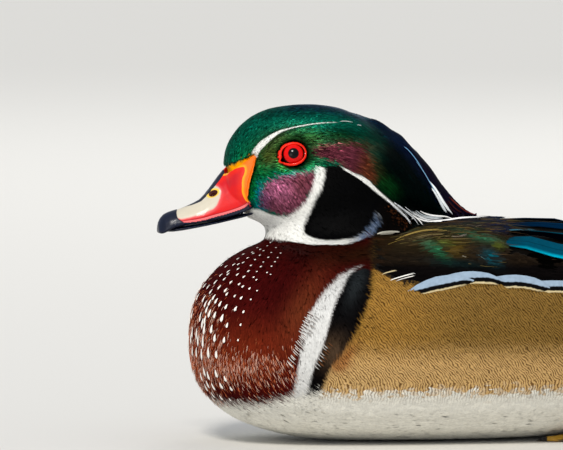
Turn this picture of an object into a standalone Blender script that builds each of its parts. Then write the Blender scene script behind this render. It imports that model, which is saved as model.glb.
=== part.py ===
"""A drake wood duck at life size, afloat with its neck drawn in, resting on its belly.

The bill points to -X and the duck's left side to -Y. Stations are in millimetres: x from the
tip of the bill to the tail, z up from the floor. place() turns them into metres round the origin,
which lies on the floor under the middle of the duck's box.
"""

import math
import random

import bmesh
import bpy
import numpy as np
from mathutils import Matrix, Vector

MM = 0.001
GAP = 0.3
TOTAL_LENGTH = 424.0
PARTS, CUTTERS = "wood_duck", "cutters"

# Body stations: x, top, bottom, half width, height of the widest point
BODY = (
    (15.9, 44.0, 39.0, 1.0, 41.5),
    (16.4, 53.0, 31.5, 14.0, 41.5),
    (18.2, 60.0, 25.0, 24.0, 42.0),
    (21.8, 66.5, 18.8, 33.5, 42.5),
    (28.2, 73.5, 12.6, 43.0, 43.5),
    (37.8, 80.2, 7.0, 51.0, 44.5),
    (52.0, 85.6, 2.6, 57.5, 45.5),
    (72.0, 89.0, -0.2, 62.0, 46.5),
    (98.0, 91.4, -1.5, 65.0, 47.5),
    (128.0, 92.6, -1.8, 66.5, 48.5),
    (158.0, 92.0, -1.0, 66.0, 49.5),
    (188.0, 89.7, 3.0, 63.5, 50.5),
    (218.0, 86.6, 9.0, 58.5, 52.0),
    (246.0, 82.6, 16.5, 50.5, 53.0),
    (270.0, 78.6, 24.5, 42.0, 54.0),
    (292.0, 75.0, 32.0, 34.5, 55.0),
    (311.0, 72.0, 39.5, 28.5, 56.5),
    (326.0, 69.8, 46.0, 22.5, 58.0),
    (333.0, 66.5, 51.5, 13.0, 59.0),
)
BODY_POWER = 2.2
BODY_SECTIONS = 28
BODY_SIDES = 26

# The folded wing's outer face: as the body, but it runs on straight over the rump
WING = (
    (76.0, 89.4, 0.0, 62.6, 46.7),
    (98.0, 91.8, 0.0, 65.4, 47.5),
    (128.0, 93.0, 0.0, 66.9, 48.5),
    (158.0, 92.4, 0.0, 66.4, 49.5),
    (188.0, 90.2, 0.0, 64.2, 50.5),
    (218.0, 87.6, 0.0, 60.0, 52.0),
    (246.0, 85.2, 0.0, 53.0, 53.0),
    (272.0, 83.0, 0.0, 44.0, 54.0),
    (298.0, 80.9, 0.0, 33.0, 56.0),
    (336.0, 79.0, 0.0, 21.0, 60.0),
)
WING_DEPTH = 7.5
WING_SECTIONS = 10
WING_INNER = 0.72
# How far the head and crest keep outside the wing's face, over its lifted feathers
WING_ROOM = 2.0
WING_START, WING_END = 90.0, 262.0
WING_RAMP = 16.0

# Height of the line where the flank feathers meet the folded wing, against x
FLANK_LINE = ((60.0, 74.5), (95.0, 73.5), (150.0, 73.0), (200.0, 71.0), (245.0, 66.5), (290.0, 60.0), (340.0, 56.0))

# Head stations: x, top, bottom, half width, height of the widest point
HEAD = (
    (28.6, 117.5, 104.0, 3.0, 110.0),
    (29.6, 123.5, 99.5, 6.8, 108.5),
    (31.6, 127.8, 97.0, 9.2, 107.5),
    (36.0, 133.2, 95.0, 11.8, 107.0),
    (42.0, 137.5, 93.0, 14.6, 107.0),
    (50.0, 140.2, 88.5, 17.8, 106.5),
    (60.0, 141.2, 84.5, 20.2, 106.0),
    (70.0, 141.0, 82.5, 21.2, 106.0),
    (80.0, 139.0, 82.5, 20.6, 106.0),
    (89.0, 133.6, 84.0, 17.8, 105.0),
    (97.0, 126.6, 86.5, 14.4, 104.0),
    (104.0, 117.5, 89.5, 10.2, 102.5),
    (109.0, 108.5, 93.5, 5.0, 101.0),
)
HEAD_POWER = 2.25
HEAD_SECTIONS = 24
HEAD_SIDES = 26

# Neck stations: z, front x, back x, half width
NECK = (
    (70.0, 44.0, 104.0, 28.0),
    (80.0, 45.0, 105.0, 26.0),
    (86.0, 46.4, 105.5, 24.0),
    (92.0, 47.6, 106.0, 22.0),
    (99.0, 48.4, 105.0, 20.3),
    (106.0, 50.0, 100.0, 16.0),
)
NECK_SECTIONS = 8
NECK_SIDES = 20
NECK_TOP = 90.5

# Crest flow lines seen from the side: the Bezier points of the top and of the lowest line, x and z
CREST_TOP = ((78.5, 137.6), (102.0, 136.6), (113.4, 105.2), (138.0, 94.0))
CREST_LOW = ((80.0, 112.0), (88.0, 107.0), (98.0, 99.0), (113.0, 94.6))
CREST_HALF_WIDTH = 19.0
CREST_TIERS = (((0.04, 0.54), 14.5), ((0.24, 0.76), 13.5), ((0.44, 1.0), 11.5))
CREST_LANES = 4

# Upper bill stations: x, culmen, mouth line, half width
BILL = (
    (0.1, 91.2, 88.9, 1.8),
    (0.7, 93.6, 87.9, 3.5),
    (2.7, 95.9, 88.5, 5.0),
    (5.6, 97.1, 90.2, 5.9),
    (9.5, 98.2, 91.2, 6.4),
    (14.6, 100.3, 91.9, 6.8),
    (18.6, 102.6, 92.6, 7.3),
    (22.4, 107.2, 93.3, 7.9),
    (26.4, 112.6, 94.2, 8.8),
    (31.0, 117.4, 95.3, 10.0),
    (37.0, 119.5, 97.6, 11.4),
    (41.0, 119.0, 100.0, 12.0),
)
BILL_POWER = 1.75
BILL_SECTIONS = 18
BILL_SIDES = 16
# Lower bill stations: x, top, bottom, half width
BILL_LOWER = (
    (3.2, 89.6, 88.9, 2.0),
    (4.6, 90.0, 88.4, 4.0),
    (9.0, 90.8, 88.8, 5.2),
    (16.0, 91.7, 90.0, 5.9),
    (24.0, 93.2, 91.6, 6.9),
    (31.0, 95.0, 93.2, 8.2),
    (37.0, 97.0, 94.6, 9.4),
    (41.0, 98.6, 96.0, 9.6),
)
# The bare skin at the bill's base, seen from the side: x, z
BILL_BASE = (
    (26.0, 111.2), (30.0, 114.3), (34.5, 117.8), (38.6, 121.0), (40.3, 120.4), (39.6, 116.0),
    (37.6, 108.5), (37.0, 103.0), (39.0, 99.6), (37.0, 97.4), (31.0, 95.2), (26.0, 94.2),
)
BILL_BASE_RISE = 0.9
NOSTRIL = (22.6, 103.9)
NOSTRIL_RADII = (2.0, 3.2, 1.1)
NOSTRIL_TILT = math.radians(25.0)

EYE = (55.2, 13.4, 120.7)
EYE_RADIUS = 5.6
EYE_LOOK = Vector((-0.20, 1.0, 0.22)).normalized()
LID_RADII = (5.7, 4.8)
LID_TUBE = 1.0
LID_OUT = 3.4
LID_TILT = math.radians(14.0)
CANTHUS_REACH = 1.2

TAIL_ROOT = (332.0, 60.5)
TAIL_TIP_Z = 76.0
TAIL_PAIRS = 7
TAIL_SPREAD = math.radians(7.5)
TAIL_VANE_WIDTH = 15.0
TAIL_STEP_DOWN = 1.05
TAIL_ROOT_SPREAD = 11.0
# Tail core stations: x, top, bottom, half width, height of the widest point
TAIL_CORE = (
    (316.0, 68.2, 46.0, 22.5, 57.0),
    (330.0, 69.0, 49.0, 22.5, 59.5),
    (346.0, 69.8, 54.0, 21.0, 62.0),
    (360.0, 70.6, 59.5, 17.0, 65.0),
    (373.0, 71.6, 65.6, 9.0, 68.6),
)

VANE_THICKNESS = 0.8
VANE_SHAPE = ((0.0, 0.55), (0.35, 0.92), (0.80, 0.90), (1.0, 0.22))
COVERT_SHAPE = ((0.0, 0.6), (0.72, 0.95), (1.0, 0.25))
LOCK_SHAPE = ((0.0, 0.7), (0.4, 1.0), (0.75, 0.7), (1.0, 0.08))

FOOT = (206.0, 29.5)
TOES = ((-17.0, 40.0), (2.0, 46.0), (23.0, 41.0))
TOE_RADII = (2.4, 1.2)
CLAW_LENGTH = 5.0
WEB_THICKNESS = 0.9
HALLUX_LENGTH = 9.0
TARSUS_RADIUS = 2.6
HEEL = (237.0, 30.0, 15.0)
THIGH_RADII = (17.0, 8.5, 9.0)
THIGH = (231.0, 30.5, 20.5)

COLOURS = {
    "head": ((0.01, 0.12, 0.07), 0.35),
    "crest": ((0.02, 0.05, 0.10), 0.35),
    "white": ((0.85, 0.85, 0.82), 0.6),
    "breast": ((0.16, 0.03, 0.02), 0.6),
    "wing": ((0.03, 0.045, 0.05), 0.4),
    "tail": ((0.02, 0.03, 0.03), 0.4),
    "bill": ((0.75, 0.06, 0.05), 0.3),
    "bill_dark": ((0.015, 0.015, 0.02), 0.3),
    "eye": ((0.75, 0.02, 0.01), 0.05),
    "lid": ((0.85, 0.08, 0.03), 0.4),
    "leg": ((0.55, 0.36, 0.08), 0.5),
}


def place(x, y, z):
    return Vector(((x - TOTAL_LENGTH / 2) * MM, y * MM, z * MM))


def spline(rows, t):
    """The row at t, counted in stations, on a Catmull-Rom curve through all of them."""
    rows = np.asarray(rows, float)
    last = len(rows) - 1
    i = min(int(t), last - 1)
    f = t - i
    before, start, end, after = (rows[min(max(i + k, 0), last)] for k in (-1, 0, 1, 2))
    return 0.5 * (
        2 * start
        + (end - before) * f
        + (2 * before - 5 * start + 4 * end - after) * f**2
        + (3 * start - before - 3 * end + after) * f**3
    )


def station_at(rows, x):
    """The row of a station table at this x."""
    low, high = 0.0, len(rows) - 1.0
    for _ in range(30):
        middle = (low + high) / 2
        if spline(rows, middle)[0] < x:
            low = middle
        else:
            high = middle
    return spline(rows, (low + high) / 2)


def smooth(value, low, high):
    share = min(max((value - low) / (high - low), 0.0), 1.0)
    return share * share * (3 - 2 * share)


def flank_height(x):
    return float(np.interp(x, *zip(*FLANK_LINE)))


def oval_point(row, angle, power):
    """A point on the station's outline; the angle runs from 0 at the left side to 90 degrees at the top."""
    _, top, bottom, half_width, wide = row
    across, up = math.cos(angle), math.sin(angle)
    y = -half_width * math.copysign(abs(across) ** (2 / power), across)
    reach = top - wide if up > 0 else wide - bottom
    return y, wide + reach * math.copysign(abs(up) ** (2 / power), up)


def collection(name):
    found = bpy.data.collections.get(name)
    if not found:
        found = bpy.data.collections.new(name)
        bpy.context.scene.collection.children.link(found)
    return found


def new_object(name, mesh, colour=None):
    """An object of the duck where it has a colour, and otherwise a cutter or a loose piece."""
    obj = bpy.data.objects.new(name, mesh)
    if colour:
        collection(PARTS).objects.link(obj)
        mesh.materials.clear()
        mesh.materials.append(material(colour))
    else:
        collection(CUTTERS).objects.link(obj)
    return obj


def material(name):
    found = bpy.data.materials.get(name)
    if found:
        return found
    colour, roughness = COLOURS[name]
    made = bpy.data.materials.new(name)
    made.use_nodes = True
    shader = made.node_tree.nodes["Principled BSDF"]
    shader.inputs["Base Color"].default_value = (*colour, 1.0)
    shader.inputs["Roughness"].default_value = roughness
    shader.inputs["Metallic"].default_value = 0.0
    return made


def finish_mesh(name, bm, colour=None):
    bmesh.ops.recalc_face_normals(bm, faces=bm.faces)
    mesh = bpy.data.meshes.new(name)
    bm.to_mesh(mesh)
    bm.free()
    return new_object(name, mesh, colour)


def loft(name, rings, colour=None):
    """A closed skin of triangles over rings of equal count, with a fan at each end."""
    bm = bmesh.new()
    rows = [[bm.verts.new(point) for point in ring] for ring in rings]
    count = len(rows[0])
    for a, b in zip(rows, rows[1:]):
        for i in range(count):
            j = (i + 1) % count
            bm.faces.new((a[i], a[j], b[j]))
            bm.faces.new((a[i], b[j], b[i]))
    for row in (rows[0], rows[-1]):
        centre = bm.verts.new(sum((v.co for v in row), Vector()) / count)
        for i in range(count):
            bm.faces.new((row[i], row[(i + 1) % count], centre))
    return finish_mesh(name, bm, colour)


def plate(name, lefts, rights, normals, thickness):
    """A thin strip from paired edge points, split into triangles alike on both faces."""
    bm = bmesh.new()
    rows = []
    for left, right, normal in zip(lefts, rights, normals):
        half = normal * (thickness / 2 * MM)
        rows.append([bm.verts.new(p) for p in (left + half, right + half, right - half, left - half)])
    for a, b in zip(rows, rows[1:]):
        bm.faces.new((a[0], a[1], b[1]))
        bm.faces.new((a[0], b[1], b[0]))
        bm.faces.new((a[3], b[2], a[2]))
        bm.faces.new((a[3], b[3], b[2]))
        bm.faces.new((a[1], a[2], b[2], b[1]))
        bm.faces.new((a[3], a[0], b[0], b[3]))
    bm.faces.new(rows[0])
    bm.faces.new(rows[-1][::-1])
    bmesh.ops.triangulate(bm, faces=[f for f in bm.faces if len(f.verts) > 3])
    return finish_mesh(name, bm)


def baked(obj):
    """The object with its modifiers applied."""
    graph = bpy.context.evaluated_depsgraph_get()
    mesh = bpy.data.meshes.new_from_object(obj.evaluated_get(graph))
    obj.modifiers.clear()
    obj.data = mesh
    return obj


def remove(*objects):
    for obj in objects:
        bpy.data.objects.remove(obj)


def union(obj, pieces, solver="MANIFOLD"):
    """Fuses the pieces to obj with one Boolean on a collection, and removes them."""
    group = bpy.data.collections.new(obj.name + "_pieces")
    bpy.context.scene.collection.children.link(group)
    for piece in pieces:
        for holder in piece.users_collection:
            holder.objects.unlink(piece)
        group.objects.link(piece)
    modifier = obj.modifiers.new("join", "BOOLEAN")
    modifier.operation = "UNION"
    modifier.solver = solver
    modifier.operand_type = "COLLECTION"
    modifier.collection = group
    baked(obj)
    remove(*pieces)
    bpy.data.collections.remove(group)
    return obj


def boolean(obj, other, operation, solver="MANIFOLD"):
    modifier = obj.modifiers.new("cut", "BOOLEAN")
    modifier.operation = operation
    modifier.solver = solver
    modifier.object = other
    return baked(obj)


def copy_of(obj, swell=0.0):
    """A copy whose surface stands out by swell millimetres along its normals."""
    copy = new_object(obj.name + "_cutter", obj.data.copy())
    if swell:
        shifts = [v.normal * (swell * MM) for v in copy.data.vertices]
        for vertex, shift in zip(copy.data.vertices, shifts):
            vertex.co += shift
    return copy


def cut_clear(obj, *others, gap=GAP):
    """Cuts obj back so that it stays a gap away from each of the others."""
    for other in others:
        cutter = copy_of(other, gap * 1.15)
        boolean(obj, cutter, "DIFFERENCE")
        remove(cutter)
    return obj


def keep_largest(obj):
    """Keeps the largest closed surface, so that scraps and sealed hollows go."""
    bm = bmesh.new()
    bm.from_mesh(obj.data)
    todo, groups = set(bm.verts), []
    while todo:
        group, edge = set(), [todo.pop()]
        while edge:
            vertex = edge.pop()
            group.add(vertex)
            near = {e.other_vert(vertex) for e in vertex.link_edges} & todo
            todo -= near
            edge.extend(near)
        groups.append(group)
    groups.sort(key=lambda g: -spread(g))
    scraps = [v for group in groups[1:] for v in group]
    bmesh.ops.delete(bm, geom=scraps, context="VERTS")
    bm.to_mesh(obj.data)
    bm.free()
    return obj


def spread(vertices):
    """The volume of the box round the vertices."""
    points = np.array([v.co for v in vertices])
    return float(np.prod(np.ptp(points, axis=0) + 1e-6))


def side_sheet(name, outline, depth, centre_y=0.0):
    """A flat outline in x and z, given thickness across Y."""
    bm = bmesh.new()
    face = bm.faces.new([bm.verts.new(place(x, centre_y - depth, z)) for x, z in outline])
    made = bmesh.ops.extrude_face_region(bm, geom=[face])
    moved = [v for v in made["geom"] if isinstance(v, bmesh.types.BMVert)]
    bmesh.ops.translate(bm, verts=moved, vec=Vector((0, 2 * depth * MM, 0)))
    return finish_mesh(name, bm)


def body_rings(swell=0.0):
    """Rings of the body, pulled in under the folded wings; swell stands them out all round."""
    rings = []
    for k in range(BODY_SECTIONS):
        row = spline(BODY, (len(BODY) - 1) * k / (BODY_SECTIONS - 1))
        x, wide = row[0] + swell * (2 * k / (BODY_SECTIONS - 1) - 1), row[4]
        along = smooth(x, WING_START, WING_START + WING_RAMP)
        along *= 1 - smooth(x, WING_END - 2 * WING_RAMP, WING_END)
        ring = []
        for i in range(BODY_SIDES):
            y, z = oval_point(row, 2 * math.pi * i / BODY_SIDES, BODY_POWER)
            inward = WING_DEPTH * along * smooth(z, flank_height(x) - 2.5, flank_height(x) + 1.0)
            share = 1 - (inward - swell) / max(math.hypot(y, z - wide), 1.0)
            ring.append(place(x, y * share, max(wide + (z - wide) * share, -swell)))
        rings.append(ring)
    return rings


def wing_point(x, angle, side, lift):
    """A point on the folded wing's outer face, lifted along the face's own normal."""
    row = station_at(WING, x)
    y, z = oval_point(row, angle, BODY_POWER)
    ahead = oval_point(row, angle + 0.02, BODY_POWER)
    along = Vector((0, ahead[0] - y, ahead[1] - z)).normalized()
    normal = Vector((0, -along.z, along.y))
    if normal.y * y + normal.z * (z - row[4]) < 0:
        normal.negate()
    point = Vector((x, y, z)) + normal * lift
    return place(point.x, point.y * side, point.z), Vector((0, normal.y * side, normal.z))


def wing_vane(root, tip, width, side, lifts, shape=VANE_SHAPE):
    """A feather that lies along the wing's face; root and tip are (x, angle in degrees)."""
    lefts, rights, normals = [], [], []
    length = abs(tip[0] - root[0])
    for share, broad in shape:
        x = root[0] + (tip[0] - root[0]) * share
        angle = math.radians(root[1] + (tip[1] - root[1]) * share)
        lift = float(np.interp(share, (0.0, 0.3, 1.0), lifts))
        row = station_at(WING, x)
        radius = 0.5 * (row[3] + row[1] - row[4])
        half = width / 2 * broad / radius
        low, _ = wing_point(x, angle - half, side, lift)
        high, _ = wing_point(x, angle + half, side, lift)
        _, normal = wing_point(x, angle, side, lift)
        lefts.append(low)
        rights.append(high)
        normals.append(normal)
    return plate(f"vane_{length:.0f}", lefts, rights, normals, VANE_THICKNESS)


def wing_vanes(side, rng):
    """Every feather of one folded wing, tier by tier from the front."""
    vanes = []
    sunk = (-3.0, 0.1, 1.2)
    tiers = (
        # first root x, x step, rows, angles, length, width
        (97.0, 19.0, 2, (39.0, 52.0, 66.0), 33.0, 16.0),
        (132.0, 25.0, 2, (38.0, 51.0), 44.0, 16.5),
        (126.0, 34.0, 2, (66.0, 81.0), 60.0, 17.0),
    )
    for start, step, rows, angles, length, width in tiers:
        for row in range(rows):
            for lane, angle in enumerate(angles):
                x = start + step * row + 0.45 * step * (lane % 2) + rng.uniform(-1.5, 1.5)
                reach = length * rng.uniform(0.94, 1.06)
                vanes.append(wing_vane((x, angle), (x + reach, angle), width, side, sunk, COVERT_SHAPE))
    # Secondaries along the lower edge, then the long tertials over them
    for i, angle in enumerate((33.0, 40.0)):
        vanes.append(wing_vane((166.0 + 6 * i, angle), (254.0 + 9 * i, angle + 3), 15.0, side, sunk))
    for i, angle in enumerate((50.0, 63.0, 76.0)):
        tip = (270.0 + 9 * i, angle + 4)
        vanes.append(wing_vane((182.0 + 5 * i, angle), tip, 17.0, side, (-3.0, 0.4, 1.6)))
    # Primaries stacked towards the tip of the wing
    for i in range(4):
        tip = (294.0 + 12.0 * i, 48.0 + 8.0 * i)
        vanes.append(wing_vane((226.0, 39.0 + 11.0 * i), tip, 12.5, side, (-3.0, -1.2, 0.2 + 0.35 * i)))
    return vanes


def wing_pad(name, side, start, end, lift=0.0):
    """The solid under the wing's feathers, between the face and a shell well inside the body."""
    rings = []
    outer = [math.radians(31.0 + 14.0 * i) for i in range(5)]
    for k in range(WING_SECTIONS):
        share = k / (WING_SECTIONS - 1)
        x = start + (end - start) * share
        row = station_at(WING, x)
        taper = math.sqrt(max(1 - (2 * share - 1) ** 6, 0.02))
        ring = []
        for angle in outer:
            point, _ = wing_point(x, angle, side, lift - WING_DEPTH * 0.9 * (1 - taper))
            ring.append(point)
        for angle in outer[::-1]:
            y, z = oval_point(row, angle, BODY_POWER)
            ring.append(place(x, y * side * WING_INNER, row[4] + (z - row[4]) * WING_INNER))
        rings.append(ring)
    return loft(name, rings, "wing")


def wing(name, side, room, rng):
    """One folded wing: a pad on the body's side and back that carries its feathers."""
    pad = wing_pad(name, side, WING_START + 1.0, WING_END - 8.0)
    union(pad, wing_vanes(side, rng))
    line = [(x, flank_height(x) + GAP / 2 + 0.4) for x, _ in FLANK_LINE]
    below = side_sheet("below_flank", [*line, (340.0, 0.0), (60.0, 0.0)], 90.0)
    boolean(pad, below, "DIFFERENCE")
    middle = side_sheet("middle", ((60, 60), (345, 60), (345, 110), (60, 110)), 30.0, side * (30.0 - GAP))
    boolean(pad, middle, "DIFFERENCE")
    remove(below, middle)
    boolean(pad, room, "DIFFERENCE")
    return keep_largest(pad)


def flank_vanes(side):
    """The broad feathers along the flank's upper edge, whose tips show as bars."""
    vanes = []
    for i in range(6):
        x = 92.0 + 26.0 * i
        lefts, rights, normals = [], [], []
        for share, broad in VANE_SHAPE:
            at = x + 42.0 * share
            row = station_at(BODY, at)
            height = flank_height(at) - 9.5 + 3.0 * share
            lift = float(np.interp(share, (0.0, 0.3, 1.0), (-3.0, 0.0, 0.9)))
            points = []
            for edge in (-1, 1):
                z = height + edge * 6.5 * broad
                up = (z - row[4]) / (row[1] - row[4])
                y = row[3] * max(1 - abs(up) ** BODY_POWER, 0.0) ** (1 / BODY_POWER) + lift
                points.append(place(at, -y * side, z))
            lefts.append(points[0])
            rights.append(points[1])
            normals.append(Vector((0, -0.94 * side, 0.34)))
        vanes.append(plate(f"flank_vane_{i}", lefts, rights, normals, VANE_THICKNESS))
    return vanes


def torso():
    body = loft("torso", body_rings(), "breast")
    above = [(x, flank_height(x) - GAP / 2) for x, _ in FLANK_LINE]
    for side in (1, -1):
        vanes = flank_vanes(side)
        limit = side_sheet("above_flank", [*above, (340.0, 120.0), (60.0, 120.0)], 90.0)
        for vane in vanes:
            boolean(vane, limit, "DIFFERENCE")
        remove(limit)
        union(body, vanes)
    return keep_largest(body)


def head_loft(name):
    rings = []
    for k in range(HEAD_SECTIONS):
        row = spline(HEAD, (len(HEAD) - 1) * k / (HEAD_SECTIONS - 1))
        ring = []
        for i in range(HEAD_SIDES):
            y, z = oval_point(row, 2 * math.pi * i / HEAD_SIDES, HEAD_POWER)
            ring.append(place(row[0], y, z))
        rings.append(ring)
    return loft(name, rings, "head")


def neck_loft(name):
    rings = []
    for k in range(NECK_SECTIONS):
        z, front, back, half = spline(NECK, (len(NECK) - 1) * k / (NECK_SECTIONS - 1))
        middle, reach = (front + back) / 2, (back - front) / 2
        ring = []
        for i in range(NECK_SIDES):
            angle = 2 * math.pi * i / NECK_SIDES
            ring.append(place(middle - reach * math.cos(angle), half * math.sin(angle), z))
        rings.append(ring)
    return loft(name, rings, "white")


def crest_point(share, level, side):
    """A point on the crest; share runs along a flow line, level from the top line to the lowest."""
    points = [Vector(top).lerp(Vector(low), level) for top, low in zip(CREST_TOP, CREST_LOW)]
    while len(points) > 1:
        points = [a.lerp(b, share) for a, b in zip(points, points[1:])]
    spot = points[0]
    half = CREST_HALF_WIDTH * (1 - share**1.6) + 1.6 * share
    return Vector((spot.x, -side * half * math.sin(math.pi * (0.06 + 0.60 * level)), spot.y))


def crest_lock(share_range, level, side, width):
    """A tapered lock along one flow line of the crest."""
    lefts, rights, normals = [], [], []
    for step, broad in LOCK_SHAPE:
        share = share_range[0] + (share_range[1] - share_range[0]) * step
        here = crest_point(share, level, side)
        along = crest_point(min(share + 0.03, 1.0), level, side) - crest_point(share - 0.03, level, side)
        across = crest_point(share, level + 0.06, side) - crest_point(share, level - 0.06, side)
        normal = along.cross(across).normalized()
        if normal.y * side > 0:
            normal.negate()
        across = normal.cross(along).normalized() * (width / 2 * broad)
        here = here + normal * (step - 3.0 * (1 - step) ** 2)
        lefts.append(place(*(here - across)))
        rights.append(place(*(here + across)))
        normals.append(normal)
    return plate(f"lock_{level:.2f}", lefts, rights, normals, 1.5)


def crest_core():
    """The inner body of the crest, which reaches half way to the tips."""
    rings = []
    levels = [0.0, 0.2, 0.45, 0.7, 1.0]
    for k in range(6):
        share = 0.60 * k / 5
        inner = 0.95 - 0.4 * (k / 5) ** 2
        ring = [crest_point(share, level, 1) for level in levels]
        ring += [crest_point(share, level, -1) for level in levels[::-1]]
        middle = sum(ring, Vector()) / len(ring)
        rings.append([place(*middle.lerp(spot, inner)) for spot in ring])
    return loft("crest", rings, "crest")


def crest(head, room):
    core = crest_core()
    locks = []
    for side in (1, -1):
        for tier, (reach, width) in enumerate(CREST_TIERS):
            for lane in range(CREST_LANES):
                level = 0.05 + 0.25 * lane + 0.08 * (tier % 2)
                locks.append(crest_lock(reach, level, side, width))
    union(core, locks)
    cut_clear(core, head)
    for solid in room:
        boolean(core, solid, "DIFFERENCE")
    return keep_largest(core)


def bill_upper(head):
    rings = []
    for k in range(BILL_SECTIONS):
        x, top, mouth, half = spline(BILL, (len(BILL) - 1) * k / (BILL_SECTIONS - 1))
        ring = []
        for i in range(BILL_SIDES):
            angle = math.pi * i / (BILL_SIDES - 5)
            if i < BILL_SIDES - 4:
                across, up = math.cos(angle), math.sin(angle)
                y = -half * math.copysign(abs(across) ** (2 / BILL_POWER), across)
                z = mouth + 0.5 + (top - mouth - 0.5) * up ** (2 / BILL_POWER)
            else:
                y = half * 0.8 * (1 - (i - (BILL_SIDES - 4)) / 1.5)
                z = mouth
            ring.append(place(x, y, z))
        rings.append(ring)
    bill = loft("bill_upper", rings, "bill")
    base = copy_of(head, BILL_BASE_RISE)
    outline = side_sheet("base_outline", BILL_BASE, 30.0)
    boolean(base, outline, "INTERSECT")
    remove(outline)
    union(bill, [base])
    cut_clear(bill, head)
    for side in (1, -1):
        bill = pierce_nostril(bill, side)
    return keep_largest(bill)


def pierce_nostril(bill, side):
    bm = bmesh.new()
    bmesh.ops.create_uvsphere(bm, u_segments=12, v_segments=8, radius=1.0)
    scale = Matrix.Diagonal((*(r * MM for r in NOSTRIL_RADII), 1.0))
    turn = Matrix.Rotation(-NOSTRIL_TILT, 4, "Y")
    spot = Matrix.Translation(place(NOSTRIL[0], -side * 6.2, NOSTRIL[1]))
    bmesh.ops.transform(bm, verts=bm.verts, matrix=spot @ turn @ scale)
    hole = finish_mesh("nostril", bm)
    boolean(bill, hole, "DIFFERENCE")
    remove(hole)
    return bill


def bill_lower(head, upper):
    rings = []
    for k in range(11):
        x, top, bottom, half = spline(BILL_LOWER, (len(BILL_LOWER) - 1) * k / 10)
        ring = []
        for i in range(12):
            angle = 2 * math.pi * i / 12
            y = -half * math.copysign(abs(math.cos(angle)) ** 0.8, math.cos(angle))
            z = (top + bottom) / 2 + (top - bottom) / 2 * math.sin(angle)
            ring.append(place(x, y, z))
        rings.append(ring)
    bill = loft("bill_lower", rings, "bill_dark")
    roof = [(x, mouth - GAP) for x, _, mouth, _ in BILL[3:]]
    above = side_sheet("above_mouth", [(0.0, 89.4), *roof, (42.0, 130.0), (0.0, 130.0)], 30.0)
    boolean(bill, above, "DIFFERENCE")
    remove(above)
    cut_clear(bill, head, upper)
    return keep_largest(bill)


def eye(name, side):
    bm = bmesh.new()
    bmesh.ops.create_uvsphere(bm, u_segments=14, v_segments=9, radius=EYE_RADIUS * MM)
    spot = Matrix.Translation(place(EYE[0], -side * EYE[1], EYE[2]))
    bmesh.ops.transform(bm, verts=bm.verts, matrix=spot)
    return finish_mesh(name, bm, "eye")


def lid(name, side, tube=LID_TUBE):
    """The bare ring round the eye, drawn out to a point at its front."""
    look = Vector((EYE_LOOK.x, -side * EYE_LOOK.y, EYE_LOOK.z))
    ahead = Vector((-1, 0, 0))
    ahead = (ahead - look * ahead.dot(look)).normalized()
    up = look.cross(ahead) * side
    centre = Vector((EYE[0], -side * EYE[1], EYE[2])) + look * LID_OUT
    turn = Matrix.Rotation(-LID_TILT * side, 3, look)
    ahead, up = turn @ ahead, turn @ up
    if up.z < 0:
        up.negate()
    rings = []
    steps, sides = 16, 5
    for i in range(steps):
        angle = 2 * math.pi * i / steps
        point = max(math.cos(angle), 0.0) ** 6
        reach = LID_RADII[0] * (1 + (CANTHUS_REACH - 1) * point)
        out = ahead * math.cos(angle) * reach + up * math.sin(angle) * LID_RADII[1]
        around = out.normalized()
        ring = []
        for j in range(sides):
            lean = 2 * math.pi * j / sides
            spot = centre + out + (around * math.cos(lean) + look * math.sin(lean)) * tube
            ring.append(place(*spot))
        rings.append(ring)
    bm = bmesh.new()
    rows = [[bm.verts.new(point) for point in ring] for ring in rings]
    for a, b in zip(rows, rows[1:] + rows[:1]):
        for i in range(sides):
            j = (i + 1) % sides
            bm.faces.new((a[i], a[j], b[j], b[i]))
    return finish_mesh(name, bm, "lid")


def tail(room):
    """The tail's fan of quills over its core, with shorter coverts above and below."""
    rings = []
    for k in range(7):
        row = spline(TAIL_CORE, (len(TAIL_CORE) - 1) * k / 6)
        rings.append([place(row[0], *oval_point(row, 2 * math.pi * i / 14, 2.0)) for i in range(14)])
    core = loft("tail", rings, "tail")
    vanes = []
    for side in (1, -1):
        for pair in range(TAIL_PAIRS):
            share = (pair + 0.5) / TAIL_PAIRS
            length = TOTAL_LENGTH - TAIL_ROOT[0] - 17.0 * share**1.5
            level = 3.0 - TAIL_STEP_DOWN * (pair + (0.5 if side < 0 else 0.0))
            vanes.append(tail_vane(side * share * TAIL_SPREAD, length, level, TAIL_VANE_WIDTH))
        for pair in range(2):
            share = (pair + 0.5) / 2
            lean = side * share * TAIL_SPREAD
            vanes.append(tail_vane(lean, 58.0 - 9.0 * share, 6.2 - 1.9 * pair, 21.0))
            vanes.append(tail_vane(lean, 64.0 - 8.0 * share, -8.0 + 1.2 * pair, 22.0))
    union(core, vanes)
    boolean(core, room, "DIFFERENCE")
    return keep_largest(core)


def tail_vane(lean, length, level, width):
    lefts, rights, normals = [], [], []
    rise = (TAIL_TIP_Z - TAIL_ROOT[1]) / (TOTAL_LENGTH - TAIL_ROOT[0])
    heading = Vector((math.cos(lean), -math.sin(lean), 0))
    across = Vector((math.sin(lean), math.cos(lean), 0))
    shape = ((0.0, 0.7), (0.4, 0.9), (0.92, 1.0), (1.0, 0.5))
    for share, broad in shape:
        run = length * share
        spread_level = level * (0.35 + 0.65 * min(share * 2.2, 1.0))
        drop = 0.004 * (run * math.sin(lean)) ** 2
        root_y = -TAIL_ROOT_SPREAD * lean / TAIL_SPREAD
        spot = Vector((TAIL_ROOT[0], root_y, TAIL_ROOT[1])) + heading * run
        spot.z += rise * run + spread_level - drop
        lefts.append(place(*(spot - across * width / 2 * broad)))
        rights.append(place(*(spot + across * width / 2 * broad)))
        normals.append(Vector((-rise, 0, 1)).normalized())
    return plate("quill", lefts, rights, normals, VANE_THICKNESS * 0.9)


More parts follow.
